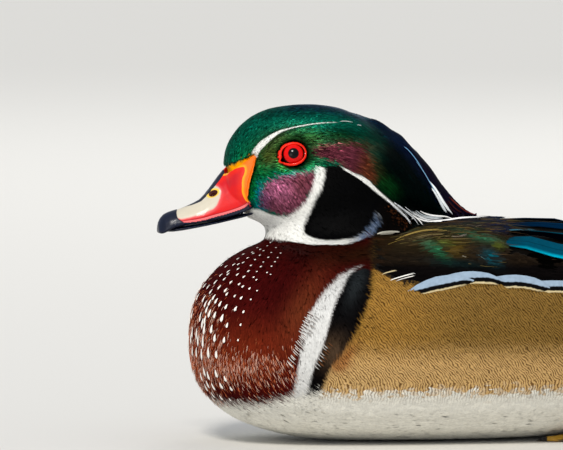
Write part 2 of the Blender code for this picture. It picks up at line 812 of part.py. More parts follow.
def tube(name, points, radii):
    """A tapered limb along a curve through the points."""
    curve = bpy.data.curves.new(name, "CURVE")
    curve.dimensions = "3D"
    curve.bevel_depth = MM
    curve.bevel_resolution = 1
    curve.use_fill_caps = True
    line = curve.splines.new("POLY")
    line.points.add(len(points) - 1)
    for spot, point, radius in zip(line.points, points, radii):
        spot.co = (*place(*point), 1.0)
        spot.radius = radius
    limb = new_object(name, curve)
    mesh = bpy.data.meshes.new_from_object(limb.evaluated_get(bpy.context.evaluated_depsgraph_get()))
    remove(limb)
    bm = bmesh.new()
    bm.from_mesh(mesh)
    bmesh.ops.remove_doubles(bm, verts=bm.verts, dist=0.01 * MM)
    return finish_mesh(name, bm)


def cut_at_floor(obj):
    """Takes off what lies below the floor, so that the piece rests on a flat."""
    below = side_sheet("under_floor", ((0, -20), (TOTAL_LENGTH, -20), (TOTAL_LENGTH, 0), (0, 0)), 90.0)
    boolean(obj, below, "DIFFERENCE")
    remove(below)


def foot(name, side, room):
    """Three webbed toes, a hind toe and their claws, flat on the floor under the belly."""
    heel = Vector((FOOT[0], -side * FOOT[1], 2.2))
    tips = []
    pieces = []
    for lean, length in TOES:
        angle = math.radians(lean)
        heading = Vector((-math.cos(angle), -side * math.sin(angle), 0))
        tip = heel + heading * length
        tip.z = 1.3
        tips.append(tip)
        knuckle = heel.lerp(tip, 0.5) + Vector((0, 0, 0.5))
        radii = (TOE_RADII[0], (TOE_RADII[0] + TOE_RADII[1]) / 2 + 0.2, TOE_RADII[1])
        pieces.append(tube("toe", (heel, knuckle, tip), radii))
        end = tip + heading * CLAW_LENGTH
        end.z = 0.5
        pieces.append(tube("claw", (tip - heading * 1.5, end), (1.2, 0.35)))
    back = heel + Vector((HALLUX_LENGTH, side * 2.5, -1.0))
    pieces.append(tube("hallux", (heel, back), (1.5, 0.7)))
    bm = bmesh.new()
    outline = [heel, tips[0]]
    for a, b in zip(tips, tips[1:]):
        outline += [(a + b) / 2 * 0.84 + heel * 0.16, b]
    flat = [bm.verts.new(place(p.x, p.y, 0.15)) for p in outline]
    face = bm.faces.new(flat)
    made = bmesh.ops.extrude_face_region(bm, geom=[face])
    moved = [v for v in made["geom"] if isinstance(v, bmesh.types.BMVert)]
    bmesh.ops.translate(bm, verts=moved, vec=Vector((0, 0, WEB_THICKNESS * MM)))
    bmesh.ops.triangulate(bm, faces=bm.faces)
    web = finish_mesh(name, bm, "leg")
    union(web, pieces)
    cut_at_floor(web)
    boolean(web, room, "DIFFERENCE")
    return keep_largest(web)


def leg(name, side, room, sole):
    """The feathered thigh and the bare shank, folded back against the belly."""
    bm = bmesh.new()
    bmesh.ops.create_uvsphere(bm, u_segments=12, v_segments=8, radius=1.0)
    scale = Matrix.Diagonal((*(r * MM for r in THIGH_RADII), 1.0))
    spot = Matrix.Translation(place(THIGH[0], -side * THIGH[1], THIGH[2]))
    bmesh.ops.transform(bm, verts=bm.verts, matrix=spot @ scale)
    thigh = finish_mesh(name, bm, "leg")
    ankle = Vector((FOOT[0] - 1.0, -side * FOOT[1], 2.8))
    heel = Vector((HEEL[0], -side * HEEL[1], HEEL[2]))
    shank = tube("shank", (ankle, ankle.lerp(heel, 0.5), heel), (TARSUS_RADIUS,) * 3)
    union(thigh, [shank])
    cut_at_floor(thigh)
    boolean(thigh, room, "DIFFERENCE")
    cut_clear(thigh, sole)
    return keep_largest(thigh)


def split_head(whole):
    """Parts the head from the neck with a thin level cut."""
    neck = new_object("neck", whole.data.copy(), "white")
    below = side_sheet("below", ((0, 40), (160, 40), (160, NECK_TOP), (0, NECK_TOP)), 60.0)
    lower = NECK_TOP - GAP
    above = side_sheet("above", ((0, lower), (160, lower), (160, 160), (0, 160)), 60.0)
    boolean(whole, below, "DIFFERENCE")
    boolean(neck, above, "DIFFERENCE")
    remove(below, above)
    return keep_largest(whole), keep_largest(neck)


def main():
    for obj in list(bpy.data.objects):
        bpy.data.objects.remove(obj)
    rng = random.Random(7)
    torso()
    body_room = loft("body_room", body_rings(1.2 * GAP))
    wing("wing_left", 1, body_room, rng)
    wing("wing_right", -1, body_room, rng)
    whole = head_loft("head")
    union(whole, [neck_loft("throat")])
    rooms = [body_room]
    rooms += [wing_pad("wing_room", side, WING_START - 2.0, WING_END, WING_ROOM) for side in (1, -1)]
    for room in rooms:
        boolean(whole, room, "DIFFERENCE")
    keep_largest(whole)
    crest(whole, rooms)
    head, _ = split_head(whole)
    upper = bill_upper(head)
    bill_lower(head, upper)
    for word, side in (("left", 1), ("right", -1)):
        ball = eye("eye_" + word, side)
        ring = lid("lid_" + word, side)
        cut_clear(ring, ball)
        keep_largest(ring)
        cut_clear(head, ball)
        seat = lid("seat", side, LID_TUBE + GAP)
        boolean(head, seat, "DIFFERENCE")
        remove(seat)
        sole = foot("foot_" + word, side, body_room)
        leg("leg_" + word, side, body_room, sole)
    keep_largest(head)
    tail(body_room)
    remove(*rooms)
    for obj in bpy.data.objects:
        obj.data.shade_smooth()
        obj.data.set_sharp_from_angle(angle=math.radians(35))


main()
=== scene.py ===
import math

import bmesh
import bpy
import numpy as np
from mathutils import Matrix, Vector
from mathutils.bvhtree import BVHTree


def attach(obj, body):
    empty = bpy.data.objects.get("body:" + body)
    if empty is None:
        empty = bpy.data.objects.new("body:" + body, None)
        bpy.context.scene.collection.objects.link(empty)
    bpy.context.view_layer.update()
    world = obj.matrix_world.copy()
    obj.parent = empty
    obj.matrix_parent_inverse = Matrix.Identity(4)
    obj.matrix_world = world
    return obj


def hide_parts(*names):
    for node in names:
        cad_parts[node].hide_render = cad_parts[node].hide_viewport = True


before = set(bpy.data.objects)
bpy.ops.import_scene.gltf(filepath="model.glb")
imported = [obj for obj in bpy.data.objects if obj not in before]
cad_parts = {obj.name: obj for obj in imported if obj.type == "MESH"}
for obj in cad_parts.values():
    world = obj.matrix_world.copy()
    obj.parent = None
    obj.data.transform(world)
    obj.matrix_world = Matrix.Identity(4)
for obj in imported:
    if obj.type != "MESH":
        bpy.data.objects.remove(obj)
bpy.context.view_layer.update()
print("frame loaded")

# Lengths are in millimetres: x from the tip of the bill to the tail, y below 0 on the left, z up from the floor.
# Places marked "pixel" are in the photograph's own 563 x 450 frame, and hold for both sides of the duck.
duck = {"length": 424.0, "seed": 11, "body": "root"}
photo = {
    "width": 563, "height": 450, "pixelSize": 0.42, "azimuth": -12.0, "elevation": 3.5,
    "distance": 4000.0, "aim": (53.0, 0.0, 90.7), "sensor": 36.0,
}


def viewAxes():
    turn, rise = math.radians(photo["azimuth"]), math.radians(photo["elevation"])
    back = np.array([math.sin(turn) * math.cos(rise), -math.cos(turn) * math.cos(rise), math.sin(rise)])
    right = np.cross((0, 0, 1), back)
    right /= np.linalg.norm(right)
    return right, np.cross(back, right), back


viewRight, viewUp, viewBack = viewAxes()
aim = np.array(photo["aim"])


def toPixels(points):
    # Where the camera sees each point, with the right side of the duck folded over to the left
    folded = np.array(points, float)
    folded[:, 1] = -np.abs(folded[:, 1])
    folded -= aim
    closer = photo["distance"] / (photo["distance"] - folded @ viewBack) / photo["pixelSize"]
    px = photo["width"] / 2 + folded @ viewRight * closer
    py = photo["height"] / 2 - folded @ viewUp * closer
    return np.stack([px, py], 1)


def pixelRay(pixel):
    across = (pixel[0] - photo["width"] / 2) * photo["pixelSize"]
    up = (photo["height"] / 2 - pixel[1]) * photo["pixelSize"]
    eye = aim + viewBack * photo["distance"]
    target = aim + viewRight * across + viewUp * up
    return eye, (target - eye) / np.linalg.norm(target - eye)


def toMetres(points):
    return (np.asarray(points, float) - (duck["length"] / 2, 0.0, 0.0)) * 0.001


def toMillimetres(points):
    return np.asarray(points, float) * 1000.0 + (duck["length"] / 2, 0.0, 0.0)


def unit(vectors):
    return vectors / np.maximum(np.linalg.norm(vectors, axis=-1, keepdims=True), 1e-9)


def smoothStep(value, low, high):
    share = np.clip((np.asarray(value, float) - low) / (high - low), 0.0, 1.0)
    return share * share * (3 - 2 * share)


def tone(red, green, blue):
    # A screen colour from 0 to 255 as the linear colour that shaders use
    return np.power(np.array((red, green, blue), float) / 255.0, 2.2)


def rounded(points, closed=False, steps=4):
    # A smooth curve through a few points
    points = np.array(points, float)
    count = len(points)
    ends = range(count if closed else count - 1)
    curve = []
    for i in ends:
        if closed:
            a, b, c, d = (points[(i + k) % count] for k in (-1, 0, 1, 2))
        else:
            a, b, c, d = (points[min(max(i + k, 0), count - 1)] for k in (-1, 0, 1, 2))
        for t in np.arange(steps) / steps:
            curve.append(0.5 * (2 * b + (c - a) * t + (2 * a - 5 * b + 4 * c - d) * t**2
                                + (3 * b - a - 3 * c + d) * t**3))
    if not closed:
        curve.append(points[-1])
    return np.array(curve)


def lineDistance(spots, line):
    nearest = np.full(len(spots), 1e9)
    for a, b in zip(line[:-1], line[1:]):
        along = b - a
        share = np.clip(((spots - a) @ along) / max(along @ along, 1e-9), 0, 1)
        nearest = np.minimum(nearest, np.linalg.norm(spots - a - share[:, None] * along, axis=1))
    return nearest


def depthInside(spots, outline):
    # How far each spot lies inside a closed outline, below 0 outside it
    ring = np.vstack([outline, outline[:1]])
    inside = np.zeros(len(spots), bool)
    for (x1, y1), (x2, y2) in zip(ring[:-1], ring[1:]):
        if y1 != y2:
            crosses = (y1 > spots[:, 1]) != (y2 > spots[:, 1])
            inside ^= crosses & (spots[:, 0] < x1 + (spots[:, 1] - y1) * (x2 - x1) / (y2 - y1))
    distance = lineDistance(spots, ring)
    return np.where(inside, distance, -distance)


def blend(colours, other, amount):
    return colours + (other - colours) * np.asarray(amount)[:, None]


def glow(spots, place, reach, turn=0.0):
    # A soft oval of influence round a pixel
    off = spots - place
    c, s = math.cos(math.radians(turn)), math.sin(math.radians(turn))
    along = (off[:, 0] * c - off[:, 1] * s) / reach[0]
    across = (off[:, 0] * s + off[:, 1] * c) / reach[1]
    return np.exp(-(along**2 + across**2))


def newObject(name, mesh, material, replaces=()):
    obj = bpy.data.objects.new(name, mesh)
    bpy.context.scene.collection.objects.link(obj)
    if material:
        mesh.materials.clear()
        mesh.materials.append(material)
    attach(obj, duck["body"])
    if replaces:
        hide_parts(*replaces)
    return obj


def meshFromTriangles(name, points, triangles):
    mesh = bpy.data.meshes.new(name)
    mesh.vertices.add(len(points))
    mesh.vertices.foreach_set("co", toMetres(points).astype(np.float32).ravel())
    mesh.loops.add(triangles.size)
    mesh.loops.foreach_set("vertex_index", triangles.astype(np.int32).ravel())
    mesh.polygons.add(len(triangles))
    mesh.polygons.foreach_set("loop_start", np.arange(0, triangles.size, 3, dtype=np.int32))
    mesh.update(calc_edges=True)
    mesh.shade_smooth()
    return mesh


def paintPoints(mesh, name, colours):
    layer = mesh.color_attributes.new(name=name, type="FLOAT_COLOR", domain="POINT")
    rgba = np.ones((len(mesh.vertices), 4), np.float32)
    rgba[:, :3] = colours
    layer.data.foreach_set("color", rgba.ravel())


def valuePoints(mesh, name, values):
    layer = mesh.attributes.new(name=name, type="FLOAT", domain="POINT")
    layer.data.foreach_set("value", np.asarray(values, np.float32))


def cornerMap(mesh, name, uv):
    # uv holds one place for each corner
    layer = mesh.uv_layers.new(name=name)
    layer.data.foreach_set("uv", np.asarray(uv, np.float32).ravel())


# Materials

def shaderGroup(name, inputs, outputs):
    group = bpy.data.node_groups.new(name, "ShaderNodeTree")
    for kind, label, value in inputs:
        socket = group.interface.new_socket(name=label, in_out="INPUT", socket_type=kind)
        socket.default_value = value
    for kind, label in outputs:
        group.interface.new_socket(name=label, in_out="OUTPUT", socket_type=kind)
    return group, group.nodes.new("NodeGroupInput"), group.nodes.new("NodeGroupOutput")


def mathNode(tree, operation, a, b=None, clamp=False):
    node = tree.nodes.new("ShaderNodeMath")
    node.operation = operation
    node.use_clamp = clamp
    for socket, value in zip(node.inputs, (a, b)):
        if value is None:
            continue
        if isinstance(value, (int, float)):
            socket.default_value = value
        else:
            tree.links.new(value, socket)
    return node.outputs[0]


def mixNode(tree, factor, a, b, mode="MIX"):
    node = tree.nodes.new("ShaderNodeMix")
    node.data_type = "RGBA"
    node.blend_type = mode
    for socket, value in ((node.inputs[0], factor), (node.inputs[6], a), (node.inputs[7], b)):
        if isinstance(value, (int, float)):
            socket.default_value = value
        elif isinstance(value, (tuple, list, np.ndarray)):
            socket.default_value = (*[float(v) for v in value[:3]], 1.0)
        else:
            tree.links.new(value, socket)
    return node.outputs[2]


def attributeNode(tree, name, output="Color"):
    node = tree.nodes.new("ShaderNodeAttribute")
    node.attribute_name = name
    return node.outputs[output]


def noiseNode(tree, scale, detail=2.0, vector=None, roughness=0.5):
    node = tree.nodes.new("ShaderNodeTexNoise")
    node.inputs["Scale"].default_value = scale
    node.inputs["Detail"].default_value = detail
    node.inputs["Roughness"].default_value = roughness
    if vector is None:
        vector = tree.nodes.new("ShaderNodeTexCoord").outputs["Object"]
    tree.links.new(vector, node.inputs["Vector"])
    return node.outputs[0]


def rangeNode(tree, value, low, high, toLow=0.0, toHigh=1.0):
    node = tree.nodes.new("ShaderNodeMapRange")
    node.interpolation_type = "SMOOTHSTEP"
    for socket, number in zip(node.inputs[1:5], (low, high, toLow, toHigh)):
        socket.default_value = number
    tree.links.new(value, node.inputs[0])
    return node.outputs[0]


def grainGroup():
    # Uneven shade within a feather, and the height of its fine barbs
    group, start, end = shaderGroup("featherGrain", (
        ("NodeSocketColor", "Color", (1, 1, 1, 1)), ("NodeSocketFloat", "Grain", 0.25),
        ("NodeSocketFloat", "Scale", 900.0)), (("NodeSocketColor", "Color"), ("NodeSocketFloat", "Height")))
    tree = group
    noise = tree.nodes.new("ShaderNodeTexNoise")
    noise.inputs["Detail"].default_value = 3.0
    coords = tree.nodes.new("ShaderNodeTexCoord")
    tree.links.new(coords.outputs["Object"], noise.inputs["Vector"])
    tree.links.new(start.outputs["Scale"], noise.inputs["Scale"])
    centred = mathNode(tree, "SUBTRACT", noise.outputs[0], 0.5)
    shade = mathNode(tree, "MULTIPLY", centred, start.outputs["Grain"])
    lift = mathNode(tree, "ADD", mathNode(tree, "MULTIPLY", shade, 4.0), 1.0)
    grey = tree.nodes.new("ShaderNodeCombineColor")
    for socket in grey.inputs[:3]:
        tree.links.new(lift, socket)
    tree.links.new(mixNode(tree, 1.0, start.outputs["Color"], grey.outputs[0], "MULTIPLY"), end.inputs["Color"])
    tree.links.new(noise.outputs[0], end.inputs["Height"])
    return group


featherGrain = grainGroup()


def newMaterial(name, roughness, metallic=0.0, coat=0.0, sheen=0.0, specular=0.5):
    made = bpy.data.materials.new(name)
    made.use_nodes = True
    shader = made.node_tree.nodes["Principled BSDF"]
    shader.inputs["Roughness"].default_value = roughness
    shader.inputs["Metallic"].default_value = metallic
    shader.inputs["Coat Weight"].default_value = coat
    shader.inputs["Coat Roughness"].default_value = 0.08
    shader.inputs["Sheen Weight"].default_value = sheen
    shader.inputs["Specular IOR Level"].default_value = specular
    return made, made.node_tree, shader


def useGrain(tree, colour, grain, scale):
    node = tree.nodes.new("ShaderNodeGroup")
    node.node_tree = featherGrain
    node.inputs["Grain"].default_value = grain
    node.inputs["Scale"].default_value = scale
    tree.links.new(colour, node.inputs["Color"])
    return node.outputs["Color"], node.outputs["Height"]


def addBump(tree, shader, height, strength, distance):
    bump = tree.nodes.new("ShaderNodeBump")
    bump.inputs["Strength"].default_value = strength
    bump.inputs["Distance"].default_value = distance
    tree.links.new(height, bump.inputs["Height"])
    tree.links.new(bump.outputs[0], shader.inputs["Normal"])


def coatMaterial(name, look):
    # Small feathers whose colour and gloss come from where they grow
    made, tree, shader = newMaterial(name, look["roughness"], specular=look["specular"])
    colour, height = useGrain(tree, attributeNode(tree, "tint"), look["grain"], look["scale"])
    tree.links.new(colour, shader.inputs["Base Color"])
    gloss = attributeNode(tree, "gloss", "Fac")
    tree.links.new(mathNode(tree, "MULTIPLY", gloss, look["metal"]), shader.inputs["Metallic"])
    rough = mathNode(tree, "MULTIPLY", gloss, -look["polish"])
    tree.links.new(mathNode(tree, "ADD", rough, look["roughness"]), shader.inputs["Roughness"])
    addBump(tree, shader, height, 0.25, 0.0003)
    return made


headCoatLook = {"roughness": 0.55, "grain": 0.12, "scale": 1400.0, "metal": 0.75, "polish": 0.2,
                "specular": 0.03}
bodyCoatLook = {"roughness": 0.62, "grain": 0.10, "scale": 900.0, "metal": 0.6, "polish": 0.15,
                "specular": 0.01}
skinLook = {"roughness": 0.8, "grain": 0.10, "scale": 600.0, "metal": 0.4, "polish": 0.1, "specular": 0.01}
headCoatMaterial = coatMaterial("headFeather", headCoatLook)
bodyCoatMaterial = coatMaterial("bodyFeather", bodyCoatLook)
skinMaterial = coatMaterial("skin", skinLook)

flankLook = {"wavelength": 1.25, "depth": 0.88, "roughness": 0.65, "buff": (146, 109, 50),
             "buffBehind": (120, 93, 46)}


def flankMaterial():
    # Buff feathers with fine wavy dark lines across them; "wave" counts millimetres across the lines
    made, tree, shader = newMaterial("flankFeather", flankLook["roughness"], specular=0.06)
    wander = noiseNode(tree, 260.0, 2.0)
    fine = noiseNode(tree, 900.0, 2.0)
    bent = mathNode(tree, "ADD", mathNode(tree, "MULTIPLY", wander, 17.0), mathNode(tree, "MULTIPLY", fine, 5.0))
    turns = mathNode(tree, "MULTIPLY", attributeNode(tree, "wave", "Fac"), 2 * math.pi / flankLook["wavelength"])
    wave = mathNode(tree, "SINE", mathNode(tree, "ADD", turns, bent))
    lines = rangeNode(tree, wave, -0.25, 0.85)
    broken = rangeNode(tree, noiseNode(tree, 700.0, 1.0), 0.30, 0.52, 0.35, 1.0)
    strength = mathNode(tree, "MULTIPLY", attributeNode(tree, "marks", "Fac"), flankLook["depth"])
    strength = mathNode(tree, "MULTIPLY", strength, broken)
    tint = attributeNode(tree, "tint")
    dark = mixNode(tree, 1.0, tint, (0.16, 0.10, 0.05), "MULTIPLY")
    colour = mixNode(tree, mathNode(tree, "MULTIPLY", lines, strength), tint, dark)
    colour, height = useGrain(tree, colour, 0.08, 1200.0)
    tree.links.new(colour, shader.inputs["Base Color"])
    addBump(tree, shader, wave, 0.15, 0.0002)
    return made


flankFeather = flankMaterial()


def featherGroup():
    # Barbs that run slantwise off a shaft, from a map in millimetres across and along the feather
    group, start, end = shaderGroup("featherBarbs", (
        ("NodeSocketColor", "Color", (1, 1, 1, 1)), ("NodeSocketFloat", "Spacing", 0.9),
        ("NodeSocketFloat", "Contrast", 0.2)), (("NodeSocketColor", "Color"), ("NodeSocketFloat", "Height")))
    tree = group
    place = tree.nodes.new("ShaderNodeSeparateXYZ")
    tree.links.new(attributeNode(tree, "vane", "Vector"), place.inputs[0])
    across = mathNode(tree, "ABSOLUTE", place.outputs[0])
    slant = mathNode(tree, "SUBTRACT", place.outputs[1], mathNode(tree, "MULTIPLY", across, 1.1))
    wobble = mathNode(tree, "MULTIPLY", noiseNode(tree, 300.0, 2.0), 2.5)
    turns = mathNode(tree, "DIVIDE", mathNode(tree, "MULTIPLY", slant, 2 * math.pi), start.outputs["Spacing"])
    barbs = mathNode(tree, "SINE", mathNode(tree, "ADD", turns, wobble))
    shaft = rangeNode(tree, across, 0.15, 0.45, 1.0, 0.0)
    shade = mathNode(tree, "ADD", mathNode(tree, "MULTIPLY", barbs, start.outputs["Contrast"]), 1.0)
    shade = mathNode(tree, "SUBTRACT", shade, mathNode(tree, "MULTIPLY", shaft, 0.35))
    grey = tree.nodes.new("ShaderNodeCombineColor")
    for socket in grey.inputs[:3]:
        tree.links.new(shade, socket)
    tree.links.new(mixNode(tree, 1.0, start.outputs["Color"], grey.outputs[0], "MULTIPLY"), end.inputs["Color"])
    tree.links.new(mathNode(tree, "ADD", barbs, mathNode(tree, "MULTIPLY", shaft, 3.0)), end.inputs["Height"])
    return group


featherBarbs = featherGroup()


def vaneMaterial(name, look):
    # Large feathers; "edge" is the distance in millimetres from the marked margin, which bands follow
    made, tree, shader = newMaterial(name, look["roughness"], specular=look.get("specular", 0.04))
    colour = attributeNode(tree, "tint")
    edge = mathNode(tree, "ADD", attributeNode(tree, "edge", "Fac"),
                    mathNode(tree, "MULTIPLY", mathNode(tree, "SUBTRACT", noiseNode(tree, 700.0, 1.0), 0.5), 0.7))
    if look.get("waves"):
        turns = mathNode(tree, "MULTIPLY", attributeNode(tree, "wave", "Fac"), 2 * math.pi / flankLook["wavelength"])
        bent = mathNode(tree, "ADD", turns, mathNode(tree, "MULTIPLY", noiseNode(tree, 260.0, 2.0), 17.0))
        lines = rangeNode(tree, mathNode(tree, "SINE", bent), -0.25, 0.85)
        dark = mixNode(tree, 1.0, colour, (0.16, 0.10, 0.05), "MULTIPLY")
        colour = mixNode(tree, mathNode(tree, "MULTIPLY", lines, flankLook["depth"]), colour, dark)
    for width, band in look.get("bands", ()):
        inside = rangeNode(tree, edge, width - 0.25, width + 0.25, 1.0, 0.0)
        colour = mixNode(tree, inside, colour, tone(*band))
    node = tree.nodes.new("ShaderNodeGroup")
    node.node_tree = featherBarbs
    node.inputs["Spacing"].default_value = look["barb"]
    node.inputs["Contrast"].default_value = look["contrast"]
    tree.links.new(colour, node.inputs["Color"])
    colour, _ = useGrain(tree, node.outputs["Color"], 0.12, 500.0)
    tree.links.new(colour, shader.inputs["Base Color"])
    gloss = attributeNode(tree, "gloss", "Fac")
    tree.links.new(mathNode(tree, "MULTIPLY", gloss, look["metal"]), shader.inputs["Metallic"])
    addBump(tree, shader, node.outputs["Height"], 0.3, 0.00025)
    return made


# Skin

skinSize = {"voxel": 1.6, "rounds": 14, "headDepth": 0.35, "bodyDepth": 0.9, "wingEnd": 262.0}
fleshNodes = ("torso", "neck", "head", "crest", "wing_left", "wing_right", "tail")


def mergedNode(name, beforeX=None):
    # A copy of a CAD node as one closed mesh, cut off behind x where asked
    bm = bmesh.new()
    bm.from_mesh(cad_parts[name].data)
    bmesh.ops.remove_doubles(bm, verts=bm.verts, dist=1e-6)
    if beforeX:
        cut = bmesh.ops.bisect_plane(bm, geom=bm.verts[:] + bm.edges[:] + bm.faces[:], dist=1e-7,
                                     plane_co=toMetres([(beforeX, 0, 0)])[0], plane_no=(1, 0, 0), clear_outer=True)
        rim = [e for e in cut["geom_cut"] if isinstance(e, bmesh.types.BMEdge)]
        bmesh.ops.holes_fill(bm, edges=rim)
    return bm


def joined(parts, name):
    mesh = bpy.data.meshes.new(name)
    whole = bmesh.new()
    for part in parts:
        step = bpy.data.meshes.new(name + "Part")
        part.to_mesh(step)
        part.free()
        whole.from_mesh(step)
        bpy.data.meshes.remove(step)
    whole.to_mesh(mesh)
    whole.free()
    return mesh


def remeshed(mesh, voxel, rounds, factor=0.5):
    # Even faces of one size over the shape, then smoothed
    obj = bpy.data.objects.new("remeshing", mesh)
    bpy.context.scene.collection.objects.link(obj)
    made = obj.modifiers.new("remesh", "REMESH")
    made.mode = "VOXEL"
    made.voxel_size = voxel * 0.001
    if rounds:
        soften = obj.modifiers.new("smooth", "SMOOTH")
        soften.factor = factor
        soften.iterations = rounds
    result = bpy.data.meshes.new_from_object(obj.evaluated_get(bpy.context.evaluated_depsgraph_get()))
    bpy.data.objects.remove(obj)
    bpy.data.meshes.remove(mesh)
    return result


def pointsOf(mesh):
    co = np.empty(len(mesh.vertices) * 3, np.float32)
    mesh.vertices.foreach_get("co", co)
    return toMillimetres(co.reshape(-1, 3))


def normalsOf(mesh):
    no = np.empty(len(mesh.vertices) * 3, np.float32)
    mesh.vertex_normals.foreach_get("vector", no)
    return no.reshape(-1, 3).astype(float)


eyePlace = {"centre": (55.2, 13.4, 120.7), "radius": 5.6, "look": (-0.20, 1.0, 0.22),
            "opening": (5.7, 4.8), "lidOut": 3.4, "tilt": 14.0, "canthus": 1.25}


def eyeAxes(side):
    # Centre, line of sight, forward and up of one eye; side is 1 on the left and -1 on the right
    centre = np.array(eyePlace["centre"]) * (1, -side, 1)
    look = unit(np.array(eyePlace["look"]) * (1, -side, 1))
    ahead = unit(np.array((-1.0, 0, 0)) + look * look[0])
    up = np.cross(look, ahead)
    up *= np.sign(up[2])
    tilt = math.radians(eyePlace["tilt"])
    tilted = ahead * math.cos(tilt) - up * math.sin(tilt)
    return centre, look, tilted, up * math.cos(tilt) + ahead * math.sin(tilt)


def eyeReach(points, side):
    # How far points lie from the eye's line of sight, as a share of its opening, and how far along it
    centre, look, ahead, up = eyeAxes(side)
    off = points - centre
    share = np.hypot(off @ ahead / eyePlace["opening"][0], off @ up / eyePlace["opening"][1])
    return share, off @ look


crestTopLine = ((390, 128), (402, 136), (416, 148.7), (428.5, 165), (439.4, 182), (448.7, 194.4), (459.5, 204.5),
                (468.8, 211.5), (479.7, 217))
crestShift = ((350, 0), (357, 1.5), (372, 1), (382, 0), (394, 1), (405, 4.3), (417, 8), (429, 3.2), (441, -4),
              (453, -7.4), (465, -6.5), (477, -1.6), (489, 0))  # Pixels that the crest's top goes up


# Where the bill's base shows and no feathers grow, in pixels
bareSkin = rounded(((150, 240), (150, 195), (200, 186), (219.6, 173.4), (223.5, 168.5), (233.6, 163), (244, 157.4),
                    (253.4, 153), (255.6, 158), (253, 167), (250, 174), (247.6, 182), (245.4, 191), (246.4, 200),
                    (249.6, 205), (251, 211), (240, 219)), True)


def makeSkinMesh():
    parts = [mergedNode(name) for name in ("torso", "neck", "head", "crest")]
    parts += [mergedNode(name, skinSize["wingEnd"]) for name in ("wing_left", "wing_right")]
    parts.append(mergedNode("tail", 372.0))
    for word in ("left", "right"):
        thigh = mergedNode("leg_" + word)
        cut = bmesh.ops.bisect_plane(thigh, geom=thigh.verts[:] + thigh.edges[:] + thigh.faces[:], dist=1e-7,
                                     plane_co=(0, 0, 0.012), plane_no=(0, 0, 1), clear_inner=True)
        bmesh.ops.holes_fill(thigh, edges=[e for e in cut["geom_cut"] if isinstance(e, bmesh.types.BMEdge)])
        parts.append(thigh)
    mesh = remeshed(joined(parts, "skin"), skinSize["voxel"], skinSize["rounds"])
    mesh.name = "skin"
    points, normals = pointsOf(mesh), normalsOf(mesh)
    pixels = toPixels(points)
    onHead = smoothStep(headLimit(pixels[:, 0]) - pixels[:, 1], -6.0, 6.0)
    depth = skinSize["bodyDepth"] + (skinSize["headDepth"] - skinSize["bodyDepth"]) * onHead
    depth = depth + 1.3 * smoothStep(depthInside(pixels, bareSkin), 0.0, 2.5)
    points -= normals * depth[:, None]
    for side in (1, -1):
        # The eye's seat: the skin goes in behind the lids
        share, along = eyeReach(points, side)
        near = (points[:, 1] * side < 0) & (share < 1.45)
        deepest = np.interp(share, (0.0, 0.9, 1.25, 1.45), (1.0, 1.6, 3.0, 9.0))
        over = np.where(near, np.maximum(along - deepest, 0.0), 0.0)
        points -= eyeAxes(side)[1] * over[:, None]
    low = np.interp(pixels[:, 0], (380, 400, 413, 430, 480), (199, 212, 222, 221, 219))
    high = np.interp(pixels[:, 0], *zip(*crestTopLine))
    share = np.clip((low - pixels[:, 1]) / np.maximum(low - high, 4.0), 0, 1) ** 2
    shift = np.interp(pixels[:, 0], *zip(*crestShift), left=0, right=0)
    points[:, 2] += photo["pixelSize"] * share * shift * (pixels[:, 1] < headLimit(pixels[:, 0]))
    points[:, 2] = np.maximum(points[:, 2], 0.25)
    mesh.vertices.foreach_set("co", toMetres(points).astype(np.float32).ravel())
    mesh.update()
    return mesh


# Where the plumage of the head ends and that of the body starts, in pixels
headEdge = ((180, 234), (262, 237), (276, 239.5), (293, 242), (311, 244.8), (330, 245), (345, 244.5),
            (359, 241), (372, 234), (380, 229), (392, 236.5), (402, 233), (412, 229.5), (426, 225),
            (441, 221.5), (456, 219.8), (480, 218), (500, 216), (1150, 216))


def headLimit(px):
    return np.interp(px, *zip(*headEdge))


print("building the skin")
skinMesh = makeSkinMesh()
skinPoints, skinNormals = pointsOf(skinMesh), normalsOf(skinMesh)
skinFaces = np.empty(len(skinMesh.loops), np.int32)
skinMesh.loops.foreach_get("vertex_index", skinFaces)
skinFaces = skinFaces.reshape(-1, 4)
skinTree = BVHTree.FromPolygons(skinPoints.tolist(), skinFaces.tolist())
print("skin faces", len(skinFaces))


def onSkin(points):
    # The nearest places on the skin and its smooth normals there
    spots = np.empty((len(points), 3))
    faces = np.empty(len(points), np.int64)
    for i, point in enumerate(points.tolist()):
        spot, _, face, _ = skinTree.find_nearest(point)
        spots[i] = spot
        faces[i] = face
    corners = skinFaces[faces]
    nearness = 1.0 / (np.linalg.norm(skinPoints[corners] - spots[:, None], axis=2) + 0.1)
    return spots, unit((skinNormals[corners] * nearness[..., None]).sum(1))


def fromPixels(pixels):
    # Where rays through pixels meet the duck's left side; misses are left out
    spots = []
    for pixel in pixels:
        start, way = pixelRay(pixel)
        spot = skinTree.ray_cast(Vector(start), Vector(way))[0]
        if spot is not None:
            spots.append(tuple(spot))
    return np.array(spots).reshape(-1, 3)


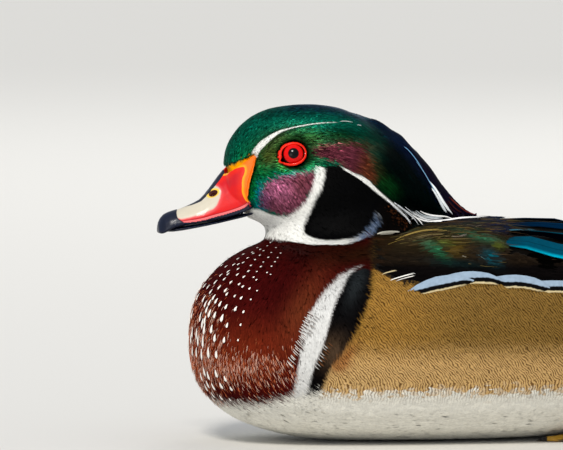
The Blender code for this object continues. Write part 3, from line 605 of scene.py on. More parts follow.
# The lie of the feathers: pixel, and the way they point in degrees, 0 to the tail and 90 up
lie = (
    (224, 166, 78), (228, 143, 62), (244, 121, 45), (267, 109, 15), (299, 105, 2), (345, 109, -8), (388, 127, -32),
    (416, 149, -50), (440, 182, -57), (460, 204, -44), (480, 216, -12), (235, 158, 62), (250, 138, 42),
    (280, 119, 12), (320, 114, 0), (250, 165, 30), (262, 150, 40), (253, 185, -35), (272, 160, 0), (262, 190, -50),
    (258, 203, -45), (285, 195, -62), (306, 185, -64), (300, 206, -55), (268, 218, -22), (290, 222, -28),
    (318, 182, -60), (312, 205, -50), (330, 190, -45), (350, 210, -38), (365, 225, -35), (295, 236, -50),
    (340, 242, -62), (372, 233, -50), (318, 150, 0), (345, 155, -12), (372, 160, -22), (390, 190, -42),
    (405, 160, -38), (420, 190, -54), (402, 205, -45), (440, 205, -50), (290, 173, -25), (290, 137, 10),
    (325, 130, 0), (362, 132, -14), (345, 172, -32), (375, 192, -42), (395, 212, -42),
    (262, 246, -125), (236, 262, -128), (212, 290, -120), (196, 330, -100), (193, 362, -88), (250, 300, -118),
    (230, 330, -104), (262, 340, -95), (245, 362, -85), (290, 262, -105), (292, 300, -92), (285, 340, -80),
    (275, 362, -62), (325, 262, -70), (355, 256, -30), (325, 300, -78), (310, 345, -84), (350, 300, -72),
    (338, 345, -78), (385, 250, 8), (385, 285, -4), (378, 320, 4), (370, 350, -8), (410, 300, 14), (410, 335, 14),
    (450, 300, 24), (460, 335, 14), (520, 300, 26), (520, 335, 16), (600, 300, 22), (600, 340, 12), (400, 372, -6),
    (480, 372, 0), (560, 372, 2), (700, 290, 12), (700, 350, 5), (820, 290, 5), (820, 340, 0), (950, 280, 3),
    (1050, 270, 6), (420, 232, 16), (470, 236, 0), (530, 245, -6), (600, 240, -4), (700, 240, -4), (850, 250, 0),
    (220, 395, -60), (260, 410, -30), (320, 420, -10), (420, 420, 0), (560, 420, 0), (700, 400, 5), (850, 370, 8),
)
lieTable = np.array(lie, float)


def lieAt(points, normals):
    # Unit direction along the skin that the feathers take
    pixels = toPixels(points)
    gap = ((pixels[:, None, :] - lieTable[None, :, :2]) ** 2).sum(2) + 16.0
    weight = gap**-1.6
    angle = np.radians(lieTable[:, 2])
    across = (weight * np.cos(angle)).sum(1)
    up = (weight * np.sin(angle)).sum(1)
    way = viewRight * across[:, None] + viewUp * up[:, None]
    way[:, 1] = np.where(points[:, 1] > 0, -way[:, 1], way[:, 1])
    way = unit(way)
    return unit(way - normals * (way * normals).sum(1)[:, None])


# Unwrap of the skin for baking: the body round a line down its middle, and the head and crest round their own

wrap = {"bodyAxis": 47.0, "headAxis": 108.0, "bodyShare": 0.70, "headFrom": 0.73, "tuft": 0.003}


def measureWrap(onHead, axis, mask):
    # Length along the surface against x, so that blunt ends keep their room in the map
    x = skinPoints[mask, 0]
    radius = np.hypot(skinPoints[mask, 1], skinPoints[mask, 2] - axis)
    bins = np.linspace(x.min(), x.max() + 1e-6, 160)
    widest = [radius[(x >= a) & (x < b)].max(initial=0.0) for a, b in zip(bins[:-1], bins[1:])]
    middles = (bins[:-1] + bins[1:]) / 2
    run = np.concatenate([[0.0], np.cumsum(np.hypot(np.diff(middles), np.diff(widest)))])
    return middles, (run + widest[0]) / (run[-1] + widest[0] + widest[-1])


skinPixels = toPixels(skinPoints)
skinOnHead = skinPixels[:, 1] < headLimit(skinPixels[:, 0])
headRuns = measureWrap(True, wrap["headAxis"], skinOnHead)
bodyRuns = measureWrap(False, wrap["bodyAxis"], ~skinOnHead)


def unwrapped(points, onHead, aroundNear=None):
    # Places in the bake map; aroundNear keeps the corners of a face on one side of the seam
    axis = np.where(onHead, wrap["headAxis"], wrap["bodyAxis"])
    around = np.arctan2(points[:, 1], points[:, 2] - axis)
    if aroundNear is not None:
        around = np.where(around - aroundNear > math.pi, around - 2 * math.pi, around)
        around = np.where(around - aroundNear < -math.pi, around + 2 * math.pi, around)
    along = np.where(onHead, np.interp(points[:, 0], *headRuns), np.interp(points[:, 0], *bodyRuns))
    share = (around / (2 * math.pi) + 0.5) * 0.96 + 0.02
    v = np.where(onHead, wrap["headFrom"] + share * (0.99 - wrap["headFrom"]), 0.01 + share * wrap["bodyShare"])
    return np.stack([0.01 + 0.98 * along, v], 1), around


wingRows = (
    # x, top, half width, height of the widest line
    (76, 89.4, 62.6, 46.7), (98, 91.8, 65.4, 47.5), (128, 93, 66.9, 48.5), (158, 92.4, 66.4, 49.5),
    (188, 90.2, 64.2, 50.5), (218, 87.6, 60, 52), (246, 85.2, 53, 53), (272, 83, 44, 54), (298, 80.9, 33, 56),
    (336, 79, 21, 60),
)


# Colours of the plumage, by pixel

crownLine = rounded(((222, 176), (223.5, 165), (228, 143), (244, 121.4), (267, 108.8), (299, 104.8), (345, 109),
                     (374, 120), (402, 136), (428.5, 165), (448.7, 194.4), (468.8, 211.5), (480, 217)))
browStripe = rounded(((252.4, 152), (255.6, 146.6), (260, 141.8), (266, 137.6), (273, 133.4), (281, 130), (290, 127.8),
                      (300, 125.7), (312, 123.7), (326, 122.4), (338, 122.2), (326, 122.9), (312, 124.4), (300, 126.6),
                      (289, 129.2), (281, 132.4), (274, 137.2), (266, 144.6), (260.4, 150.6), (256.4, 158),
                      (254.2, 157)), True)
eyeStripe = rounded(((342, 167.2), (348.5, 170.2), (356, 174), (366.6, 178.6), (377.6, 189.4), (390.6, 201),
                     (400, 208.5), (408, 216), (404, 216), (393, 206), (384, 198.4), (373.6, 190.4),
                     (364.4, 182.8), (352, 174.4), (345, 170.4)), True)
throatPatch = rounded(((236, 206), (246, 203.5), (251, 208.7), (260, 210), (270.5, 214.4), (280, 216.4), (288, 216),
                       (295, 212), (303, 205), (309.6, 196), (313, 187), (315, 178), (317, 170), (321, 166),
                       (325, 170), (324.6, 177), (321.4, 188), (315, 200), (309, 214), (304, 226), (305.6, 234),
                       (316.5, 238.8), (330, 240.4), (346, 239.4), (360, 236.8), (368.6, 230.5), (374.4, 222.6),
                       (376.6, 217), (378, 213.4), (378.6, 222), (372.6, 231.6), (360, 241.5), (345, 245),
                       (330, 245.4), (311, 245), (293, 242.4), (276, 240), (262, 238), (236, 238)), True)
blackPatch = rounded(((323.6, 167.5), (333, 165.2), (341, 167.2), (352, 173), (364, 180.4), (374, 188),
                      (384, 196.6), (392, 203.6), (400, 211), (405, 222), (396, 231), (386, 232), (378, 232),
                      (366, 240), (340, 242), (318, 240), (303, 233), (302, 226), (307.6, 214), (313.6, 200),
                      (319.6, 188), (323.4, 177)), True)
cheekPatch = rounded(((260, 199), (262.5, 189), (268, 182), (277, 177.4), (293, 174.2), (309, 171.4), (318, 172),
                      (316.4, 184), (312.4, 194.4), (304.8, 205.6), (294, 215), (285, 216.6), (275, 214.4),
                      (266, 209.4), (261, 205.4)), True)
templePatch = rounded(((312, 152), (318, 147.6), (328, 145.6), (341, 145), (356, 146), (366, 149), (371, 157),
                       (373.6, 168), (376, 176), (374, 183), (366, 179.6), (356, 174.6), (346, 168.6),
                       (338, 162), (322, 157.6)), True)

whiteFeather, dullWhite = tone(228, 228, 223), tone(196, 196, 194)
blackFeather = tone(14, 13, 14)
headGlows = (
    # pixel, reach, turn, colour, amount
    ((326, 134), (56, 9), 0, (1, 30, 23), 0.92),
    ((345, 136), (26, 5), -4, (12, 44, 18), 0.6),
    ((300, 113), (50, 6), 0, (3, 56, 50), 0.7),
    ((252, 180), (16, 26), 0, (14, 130, 46), 0.9),
    ((291, 154), (32, 21), 0, (44, 78, 16), 0.95),
    ((268, 156), (9, 12), 0, (84, 76, 24), 0.6),
    ((276, 140), (14, 6), 30, (66, 58, 26), 0.5),
    ((291, 154), (19, 15), 0, (26, 40, 14), 0.7),
    ((316, 143), (14, 5), -10, (30, 34, 11), 0.8),
    ((341, 142), (24, 3), -2, (28, 32, 11), 0.8),
    ((284, 171), (40, 6), 10, (4, 98, 52), 0.9),
    ((290, 166), (10, 4), 0, (70, 96, 20), 0.6),
    ((285, 178), (22, 4), 13, (0, 100, 118), 0.9),
    ((259, 193), (4, 12), 0, (0, 76, 106), 0.9),
    ((262, 206), (10, 6), 0, (0, 78, 104), 0.8),
    ((360, 145), (16, 4), -10, (76, 48, 24), 0.7),
    ((376, 165), (5, 15), 20, (56, 48, 20), 0.6),
    ((330, 163), (14, 4), -15, (4, 44, 32), 0.85),
    ((318, 159), (6, 5), 0, (16, 30, 20), 0.8),
)


def paintHead(pixels, loose):
    # The pied marks go by the true place, and the shining colours by one that wanders a little
    px, py = loose[:, 0], loose[:, 1]
    colours = np.tile(tone(2, 92, 74), (len(pixels), 1))
    edge = lineDistance(loose, crownLine)
    colours = blend(colours, tone(8, 40, 66), (1 - smoothStep(edge, 2.0, 11.0)) * smoothStep(px, 262, 300))
    crest = smoothStep(px + 0.25 * (py - 150), 350, 392)
    colours = blend(colours, tone(2, 15, 14), crest)
    colours = blend(colours, tone(6, 26, 54), crest * smoothStep(11 - edge, -5, 6))
    rear = smoothStep(px - 0.66 * (py - 146) - 402, -2, 7) * smoothStep(py, 140, 160)
    colours = blend(colours, tone(22, 12, 30), rear * 0.9)
    for place, reach, turn, colour, amount in headGlows:
        colours = blend(colours, tone(*colour), glow(loose, place, reach, turn) * amount)
    colours = blend(colours, tone(16, 58, 26), glow(loose, (387, 187), (13, 8), -46) * 0.8)
    temple = smoothStep(depthInside(loose, templePatch), -2.0, 2.5)
    colours = blend(colours, tone(88, 47, 31), temple)
    colours = blend(colours, tone(90, 43, 53), temple * (1 - smoothStep(px + 0.3 * (py - 160), 352, 370)))
    colours = blend(colours, tone(34, 17, 21), temple * glow(loose, (322, 151), (15, 9), 0) * 0.95)
    cheek = smoothStep(depthInside(loose, cheekPatch), -1.5, 2.5)
    colours = blend(colours, tone(96, 52, 66), cheek)
    # A painted highlight on the cheek's upper front
    colours = blend(colours, tone(148, 84, 112), cheek * glow(loose, (279, 188), (15, 11), 0) * 0.85)
    colours = blend(colours, tone(82, 42, 48), cheek * glow(loose, (303, 184), (13, 16), 0) * 0.8)
    colours = blend(colours, tone(62, 48, 84), cheek * glow(loose, (264, 200), (6, 12), 0) * 0.45)
    # Close round the lids everything is painted near black: painted shade in the hollow of the eye's seat, together
    # with the dark edge round the ring
    rimmed = np.hypot((pixels[:, 0] - 292.6) / 16.6, (pixels[:, 1] - 154.0) / 13.8)
    colours = colours * np.interp(rimmed, (0.0, 0.92, 1.12), (0.05, 0.12, 1.0))[:, None]
    px, py = pixels[:, 0], pixels[:, 1]
    gloss = 1.0 - 0.35 * cheek
    layers = (
        (blackPatch, tone(7, 7, 8), 1.0), (browStripe, whiteFeather, 0.5), (eyeStripe, whiteFeather, 0.5),
        (throatPatch, whiteFeather, 0.7),
    )
    for outline, colour, soft in layers:
        amount = smoothStep(depthInside(pixels, outline), -soft, soft)
        colours = blend(colours, colour, amount)
        gloss = gloss * (1 - amount)
    bluish = smoothStep(depthInside(pixels, throatPatch), -0.7, 0.7) * smoothStep(px, 346, 366)
    colours = blend(colours, tone(44, 80, 122), bluish * 0.9)
    brown = smoothStep(px, 377, 384) * smoothStep(py, 200, 206) * (1 - smoothStep(px, 408, 416))
    brown = brown * smoothStep(-depthInside(pixels, eyeStripe), 0.3, 1.0)
    brown = brown * smoothStep(-depthInside(pixels, throatPatch), 0.3, 1.0)
    brown = brown * smoothStep(py, np.interp(px, (380, 391, 402, 412), (199, 206, 214, 222)) - 1.0,
                               np.interp(px, (380, 391, 402, 412), (199, 206, 214, 222)) + 1.0)
    colours = blend(colours, tone(11, 8, 6), brown)
    gloss = gloss * (1 - 0.9 * brown)
    return colours, gloss


whiteBar = rounded(((363, 264.6), (356, 268), (350, 270.6), (344, 274.4), (333, 283), (321, 297), (315, 306),
                    (308.4, 316), (302.4, 330), (300, 345), (299.4, 357.5), (298, 368), (295, 386), (292, 404), (305, 404),
                    (309, 386), (314.7, 366.7), (319, 357), (324.5, 343), (330, 323), (335.7, 303.6),
                    (342.8, 288), (347, 279.6), (354, 270.4)), True)
blackBar = rounded(((352, 273), (363, 268.4), (371.5, 271), (373, 278), (371.6, 293.8), (367.7, 306.5), (362.4, 319.3),
                    (357.2, 332), (349, 344.8), (340, 357.6), (332.6, 367), (324, 386), (317, 404), (304, 404),
                    (309, 386), (314.7, 366.7), (319, 357), (324.5, 343), (330, 323), (335.7, 303.6), (342.8, 288),
                    (347, 278.3)), True)
# Where the flank's buff starts behind the black bar: height and place in pixels
flankStart = ((264, 373), (275, 373), (293.8, 371.6), (306.5, 367.7), (319.3, 362.4), (332, 357.2), (344.8, 349),
              (357.6, 340), (367, 332.6), (386, 324), (404, 317))
flankTop = ((372, 268), (393, 280), (418, 286), (440, 283), (468, 277), (496, 278), (529, 281), (563, 286),
            (700, 291), (800, 306), (900, 328), (1000, 352))
# The lower edge of the white row above the flank
rowLine = ((406, 292), (421, 289), (432.5, 286.3), (450, 283), (466, 280), (485, 278.6), (500, 280.6), (517, 281.7),
           (532, 283.4), (545, 286.2), (563, 286.6), (620, 290.6), (700, 294.6), (750, 300), (800, 308), (840, 314))


def paintBody(pixels, points):
    px, py = pixels[:, 0], pixels[:, 1]
    height = points[:, 2] + np.random.default_rng(len(px)).normal(0, 1.2, len(px))
    colours = np.tile(tone(60, 15, 15), (len(pixels), 1))
    colours = blend(colours, tone(34, 12, 9), glow(pixels, (330, 252), (62, 16), 0))
    colours = blend(colours, tone(50, 13, 13), glow(pixels, (278, 292), (20, 34), -20) * 0.8)
    colours = blend(colours, tone(90, 44, 27), glow(pixels, (300, 314), (14, 46), -28) * 0.85)
    colours = blend(colours, tone(102, 39, 23), glow(pixels, (240, 350), (58, 26), 0) * 0.85)
    # Blackish brown at the base of the neck's back: painted shade under the nape
    colours = blend(colours, tone(36, 22, 13), glow(pixels, (368, 252), (36, 9), 14) * 0.9)
    gloss = 0.15 + 0 * px
    buff = blend(np.tile(tone(*flankLook["buff"]), (len(px), 1)), tone(*flankLook["buffBehind"]), smoothStep(px, 370, 480))
    onFlank = smoothStep(px - np.interp(py, *zip(*flankStart)), -1.5, 1.5)
    pale = smoothStep(py, 335, 376)
    colours = blend(colours, blend(buff, tone(194, 158, 104), pale), onFlank)
    gloss = gloss * (1 - onFlank)
    white = smoothStep(depthInside(pixels, whiteBar), -0.8, 0.8)
    colours = blend(colours, dullWhite, white)
    rust = glow(pixels, (347, 356), (6, 15), -40) + glow(pixels, (338, 366), (11, 6), 0)
    colours = blend(colours, tone(128, 70, 26), np.minimum(rust, 1.0) * 0.7 * (1 - white))
    black = smoothStep(depthInside(pixels, blackBar), -0.8, 0.8)
    colours = blend(colours, blackFeather, black)
    # A painted highlight of bluish slate on the upper part of the black bar
    colours = blend(colours, tone(40, 44, 46), black * glow(pixels, (357, 282), (7, 22), -22) * 0.8)
    colours = blend(colours, tone(76, 60, 46), black * glow(pixels, (332, 352), (12, 16), -30) * 0.8)
    back = smoothStep(np.interp(px, *zip(*flankTop)) - py, -1.0, 1.5) * smoothStep(px, 366, 376)
    colours = blend(colours, tone(22, 20, 18), back)
    gloss = np.maximum(gloss, back * 0.5)
    # The belly is white, and the vent and undertail are dark
    front = smoothStep(px, 230, 330)
    belly = (1 - smoothStep(height, 15 + 7 * front, 19 + 7 * front)) * smoothStep(px, 196, 226)
    colours = blend(colours, tone(226, 224, 214), belly)
    vent = smoothStep(points[:, 0], 284, 300)
    colours = blend(colours, tone(26, 20, 18), vent)
    patch = glow(np.stack([points[:, 0], points[:, 2]], 1), (292, 62), (13, 9), 0) * (1 - back * 0.2)
    colours = blend(colours, tone(62, 14, 36), patch)
    return colours, gloss


def paint(points, pixels=None, wander=0.0):
    # Colour and gloss of the plumage at points
    if pixels is None:
        pixels = toPixels(points)
    drift = np.random.default_rng(len(points)).normal(0, 1, pixels.shape) * wander
    headColours, headGloss = paintHead(pixels, pixels + drift)
    bodyColours, bodyGloss = paintBody(pixels, points)
    onHead = pixels[:, 1] < headLimit(pixels[:, 0])
    return np.where(onHead[:, None], headColours, bodyColours), np.where(onHead, headGloss, bodyGloss), onHead


def flankWave(points):
    # Millimetres across the flank's fine lines, which stand upright by the water and lean above it
    lean = np.interp(points[:, 2], (0, 28, 38, 52, 80), (0.0, 0.0, 9.0, 21.0, 44.0) )
    return points[:, 0] + lean


print("painting the skin")
skinColours, skinGloss, _ = paint(skinPoints, skinPixels)
bareSkinDepth = smoothStep(depthInside(skinPixels, bareSkin), -0.4, 1.0) * (skinPixels[:, 0] > 214)
bareSkinDepth = bareSkinDepth * (skinPixels[:, 1] < 200)
# The skin is painted a fifth darker: painted shade in the gaps between the tufts; the bill's bare base is painted gold
skinColours, skinGloss = blend(skinColours * 0.8, tone(252, 164, 0), bareSkinDepth), skinGloss * (1 - bareSkinDepth)
paintPoints(skinMesh, "tint", skinColours)
valuePoints(skinMesh, "gloss", skinGloss)
corner = skinFaces.ravel()
faceMiddle = skinPoints[skinFaces].mean(1)
faceHead = np.repeat(skinOnHead[skinFaces].mean(1) > 0.5, 4)
_, faceAround = unwrapped(np.repeat(faceMiddle, 4, 0), faceHead)
cornerMap(skinMesh, "OFBake", unwrapped(skinPoints[corner], faceHead, faceAround)[0])
skinMesh.shade_smooth()
skinObject = newObject("skin", skinMesh, skinMaterial, fleshNodes)


# Small feathers

rng = np.random.default_rng(duck["seed"])


def rootsOn(mask, perFace, seed):
    # Scattered roots, evenly over the skin's faces that the mask keeps; perFace may be a fraction
    pick = np.random.default_rng(seed)
    faces = np.flatnonzero(mask)
    rate = np.broadcast_to(perFace, mask.shape)[faces]
    side = max(int(math.ceil(math.sqrt(rate.max()))), 1)
    spots = []
    for i in range(side):
        for j in range(side):
            keep = faces[pick.random(len(faces)) < rate / side**2]
            a = ((i + pick.random(len(keep))) / side)[:, None]
            b = ((j + pick.random(len(keep))) / side)[:, None]
            q = skinPoints[skinFaces[keep]]
            spots.append((q[:, 0] * (1 - a) + q[:, 1] * a) * (1 - b) + (q[:, 3] * (1 - a) + q[:, 2] * a) * b)
    return np.vstack(spots)


def clearOfEyes(path, reach):
    # Which feathers keep outside the lids all along
    keep = np.ones(len(path[0]), bool)
    for side in (1, -1):
        for points in path:
            share, _ = eyeReach(points, side)
            keep &= ~((share < reach) & (points[:, 1] * side < 0))
    return keep


def walkTufts(roots, length, segments, reproject=True):
    # Each feather's path over the skin, station by station: points, normals and ways
    spot, normal = onSkin(roots)
    way = lieAt(spot, normal)
    path = [(spot, normal, way)]
    for _ in range(segments):
        spot = spot + way * (length / segments)[:, None]
        if reproject:
            spot, normal = onSkin(spot)
        way = lieAt(spot, normal)
        path.append((spot, normal, way))
    return path


def tuftMesh(name, path, width, rise, thick, colours, gloss, rootShade=0.55, tipShade=1.12, shape=None, extra=None):
    # Closed three-sided tufts along their paths, joined in one mesh; rise is the height at each station
    count, stations = len(path[0][0]), len(path)
    if shape is None:
        shape = np.interp(np.arange(stations - 1) / (stations - 1), (0, 0.5, 1), (0.75, 1.0, 0.6))
    rings = []
    for k, (spot, normal, way) in enumerate(path[:-1]):
        middle = spot + normal * rise[k]
        half = np.cross(normal, way) * (width * shape[k] / 2)[:, None]
        rings += [middle + half, middle + normal * (thick * shape[k])[:, None], middle - half]
    spot, normal, _ = path[-1]
    tip = spot + normal * rise[-1]
    points = np.stack(rings + [tip], 1)
    perTuft = points.shape[1]
    template = []
    for k in range(stations - 2):
        a, b = 3 * k, 3 * k + 3
        for i in range(3):
            j = (i + 1) % 3
            template += [(a + i, a + j, b + j), (a + i, b + j, b + i)]
    last = 3 * (stations - 2)
    template += [(last, last + 1, perTuft - 1), (last + 1, last + 2, perTuft - 1), (last + 2, last, perTuft - 1)]
    template.append((0, 2, 1))
    triangles = (np.array(template)[None] + (np.arange(count) * perTuft)[:, None, None]).reshape(-1, 3)
    mesh = meshFromTriangles(name, points.reshape(-1, 3), triangles)
    mesh.set_sharp_from_angle(angle=math.radians(75))
    # Each tuft is painted darker at its root and lighter at its tip (rootShade, tipShade): painted shade among the
    # overlapping feathers
    shade = np.concatenate([np.repeat(np.interp(np.arange(stations - 1) / (stations - 1), (0, 0.5, 1),
                                                (rootShade, 1.0, tipShade)), 3), [tipShade]])
    if colours.ndim == 2:
        colours = np.repeat(colours[:, None], stations, 1)
    colours = np.concatenate([np.repeat(colours[:, :-1], 3, 1), colours[:, -1:]], 1)
    paintPoints(mesh, "tint", np.clip(colours * shade[None, :, None], 0, 0.92).reshape(-1, 3))
    valuePoints(mesh, "gloss", np.repeat(gloss, perTuft))
    root = path[0][0]
    pixels = toPixels(root)
    patch, _ = unwrapped(root, pixels[:, 1] < headLimit(pixels[:, 0]))
    across = np.tile((0.0, 0.5, 1.0), stations - 1)
    along = np.repeat(np.arange(stations - 1) / (stations - 1), 3)
    local = np.stack([np.append(across, 0.5), np.append(along, 1.0)], 1) - 0.5
    uv = (patch[:, None, :] + local[None] * wrap["tuft"]).reshape(-1, 2)
    cornerMap(mesh, "OFBake", uv[triangles.ravel()])
    if extra is not None:
        for key, function in extra.items():
            valuePoints(mesh, key, function(points.reshape(-1, 3)))
    return mesh


def jitter(count, spread, seed):
    return np.exp(np.random.default_rng(seed).normal(0.0, spread, count))


faceCentres = skinPoints[skinFaces].mean(1)
facePixels = toPixels(faceCentres)
faceOnHead = facePixels[:, 1] < headLimit(facePixels[:, 0])
faceLeft = faceCentres[:, 1] < 0

headCoat = {"splitAt": 346, "perFace": 6.0, "byMark": (0.5, 2.0), "wander": 1.7, "width": 0.7, "rise": (-0.35, 0.45, 0.75), "shadeSpread": 0.40,
            "length": ((222, 1.7), (245, 2.2), (290, 3.0), (340, 4.4), (400, 7.0), (450, 8.0))}


def toMarks(pixels, marks):
    # Pixels to the nearest edge of the pied marks, where feathers are smaller and closer set
    return np.min([np.abs(depthInside(pixels, mark)) for mark in marks], axis=0)


headMarks = (browStripe, eyeStripe, throatPatch, blackPatch)
faceToHeadMarks = toMarks(facePixels, headMarks)
faceToBars = toMarks(facePixels, (whiteBar, blackBar))


def makeHeadCoat():
    finer, denser = headCoat["byMark"]
    perFace = headCoat["perFace"] * np.interp(faceToHeadMarks, (2, 5), (denser, 1))
    front = facePixels[:, 0] < headCoat["splitAt"]
    for word, mask, seed in (("head_coat_left", faceLeft & front, 21), ("head_coat_right", ~faceLeft & front, 22),
                             ("crest_coat_left", faceLeft & ~front, 23), ("crest_coat_right", ~faceLeft & ~front, 24)):
        roots = rootsOn(mask & faceOnHead, perFace, seed)
        pixels = toPixels(roots)
        bare = depthInside(pixels, bareSkin) > 1.8
        roots, pixels = roots[~bare], pixels[~bare]
        small = np.interp(toMarks(pixels, headMarks), (1, 4.5), (finer, 1))
        power = np.where((pixels[:, 0] > 345) & (pixels[:, 1] > 204), 1.6, 0.5)
        length = np.interp(pixels[:, 0], *zip(*headCoat["length"])) * jitter(len(roots), 0.15, seed + 1) * small**power
        path = walkTufts(roots, length, 2)
        keep = clearOfEyes([p[0] for p in path], 1.13)
        path = [tuple(part[keep] for part in step) for step in path]
        count = int(keep.sum())
        painted = [paint(path[k][0] + path[k][1] * headCoat["rise"][k], None, headCoat["wander"]) for k in (1, 2)]
        colours, gloss = np.stack([painted[0][0], painted[0][0], painted[1][0]], 1), painted[0][1]
        dark = colours.max((1, 2)) < 0.5
        shade = np.where(dark, jitter(count, headCoat["shadeSpread"], seed + 2), jitter(count, 0.05, seed + 3))
        colours = colours * shade[:, None, None]
        width = headCoat["width"] * jitter(count, 0.12, seed + 4) * small[keep]
        mesh = tuftMesh(word, path, width, headCoat["rise"], width * 0.3, colours, gloss)
        newObject(word, mesh, headCoatMaterial)
        print(word, count)


def bodyTufts(name, mask, look, seed, material, extra=None):
    finer, denser = look["byBar"]
    roots = rootsOn(mask, look["perFace"] * np.interp(faceToBars, (3, 10), (denser, 1)), seed)
    count = len(roots)
    small = np.interp(toMarks(toPixels(roots), (whiteBar, blackBar)), (2, 10), (finer, 1))
    length = look["length"] * jitter(count, 0.15, seed + 1) * small
    path = walkTufts(roots, length, look["segments"])
    colours = np.stack([paint(step[0] + step[1] * max(rise, 0))[0] for step, rise in zip(path, look["rise"])], 1)
    gloss = paint(path[-2][0])[1]
    dark = colours.max((1, 2)) < 0.5
    shade = np.where(dark, jitter(count, look["shadeSpread"], seed + 2), jitter(count, 0.05, seed + 3))
    colours = colours * shade[:, None, None]
    width = look["width"] * jitter(count, 0.12, seed + 4) * small
    mesh = tuftMesh(name, path, width, look["rise"], width * look["flat"], colours, gloss, look["rootShade"],
                    look["tipShade"], extra=extra)
    print(name, count)
    return newObject(name, mesh, material)


breastCoat = {"perFace": 2.6, "byBar": (0.6, 2.4), "length": 4.8, "width": 1.1, "flat": 0.22, "segments": 2,
              "rise": (-0.5, 0.6, 0.85), "shadeSpread": 0.16, "rootShade": 0.6, "tipShade": 1.1}
flankCoat = {"perFace": 0.85, "byBar": (0.3, 5.0), "length": 9.5, "width": 4.2, "flat": 0.07, "segments": 3,
             "rise": (-0.6, 0.35, 0.65, 0.65), "shadeSpread": 0.05, "rootShade": 0.92, "tipShade": 1.03}
bellyCoat = {"perFace": 0.8, "byBar": (0.5, 2.5), "length": 7.5, "width": 2.6, "flat": 0.12, "segments": 2,
             "rise": (-0.5, 0.4, 0.6), "shadeSpread": 0.10, "rootShade": 0.8, "tipShade": 1.05}


def makeBodyCoat():
    px, py = facePixels[:, 0], facePixels[:, 1]
    height, along = faceCentres[:, 2], faceCentres[:, 0]
    barRight = np.interp(py, *zip(*flankStart))
    under = (height < 16) & (px > 240)
    breast = ~faceOnHead & (px < barRight - 4) & ~under
    nearRow = np.interp(px, *zip(*rowLine), right=0) + np.interp(px, (380, 400, 414, 430), (-14, -11, -2, 7))
    limit = np.maximum(np.interp(px, *zip(*flankTop)) - 3, nearRow)
    wingCovered = (py < limit) & (px > 380)
    middle = np.interp(along, [row[0] for row in wingRows], [row[3] for row in wingRows])
    overWing = np.degrees(np.arctan2(height - middle, np.abs(faceCentres[:, 1]))) > np.interp(along, (236, 300), (18, 34))
    flank = ~faceOnHead & ~breast & ~under & ~wingCovered & (along < 300)
    rest = ~faceOnHead & ~breast & ~flank & ~(wingCovered & ((along < 236) | (overWing & (along < 296))))
    for word, half, seed in (("left", faceLeft, 40), ("right", ~faceLeft, 60)):
        bodyTufts("breast_coat_" + word, breast & half, breastCoat, seed, bodyCoatMaterial)
        marks = {"wave": flankWave, "marks": lambda p: smoothStep(p[:, 2], 17, 27) * (1 - smoothStep(p[:, 0], 288, 300))}
        bodyTufts("flank_coat_" + word, flank & half, flankCoat, seed + 7, flankFeather, extra=marks)
        bodyTufts("belly_coat_" + word, rest & half, bellyCoat, seed + 14, bodyCoatMaterial)


print("laying the head coat")
makeHeadCoat()
print("laying the body coat")
makeBodyCoat()


# Markings that lie over the coat

def fromPixelsNear(pixels):
    # As fromPixels, but a ray that misses takes the nearest place on the skin
    spots = []
    for pixel in pixels:
        start, way = pixelRay(pixel)
        spot = skinTree.ray_cast(Vector(start), Vector(way))[0]
        if spot is None:
            spot = skinTree.find_nearest(Vector(start + way * (photo["distance"] + 10.0)))[0]
        spots.append(tuple(spot))
    return np.array(spots)


def resampled(points, count):
    run = np.concatenate([[0.0], np.cumsum(np.linalg.norm(np.diff(points, axis=0), axis=1))])
    at = np.linspace(0, run[-1], count)
    return np.stack([np.interp(at, run, points[:, k]) for k in range(points.shape[1])], 1)


def bothSides(paths):
    # Paths on the left side, and their mirror images on the right
    return np.concatenate([paths, paths * (1, -1, 1)])


def alongSkin(spots):
    # Stations of many paths as the tuft builder wants them: point, normal and way for each
    count, stations, _ = spots.shape
    normals = onSkin(spots.reshape(-1, 3))[1].reshape(count, stations, 3)
    for _ in range(6):
        normals[:, 1:-1] = unit(normals[:, 1:-1] * 2 + normals[:, :-2] + normals[:, 2:])
    ways = unit(np.gradient(spots, axis=1))
    return [(spots[:, k], normals[:, k], ways[:, k]) for k in range(stations)]


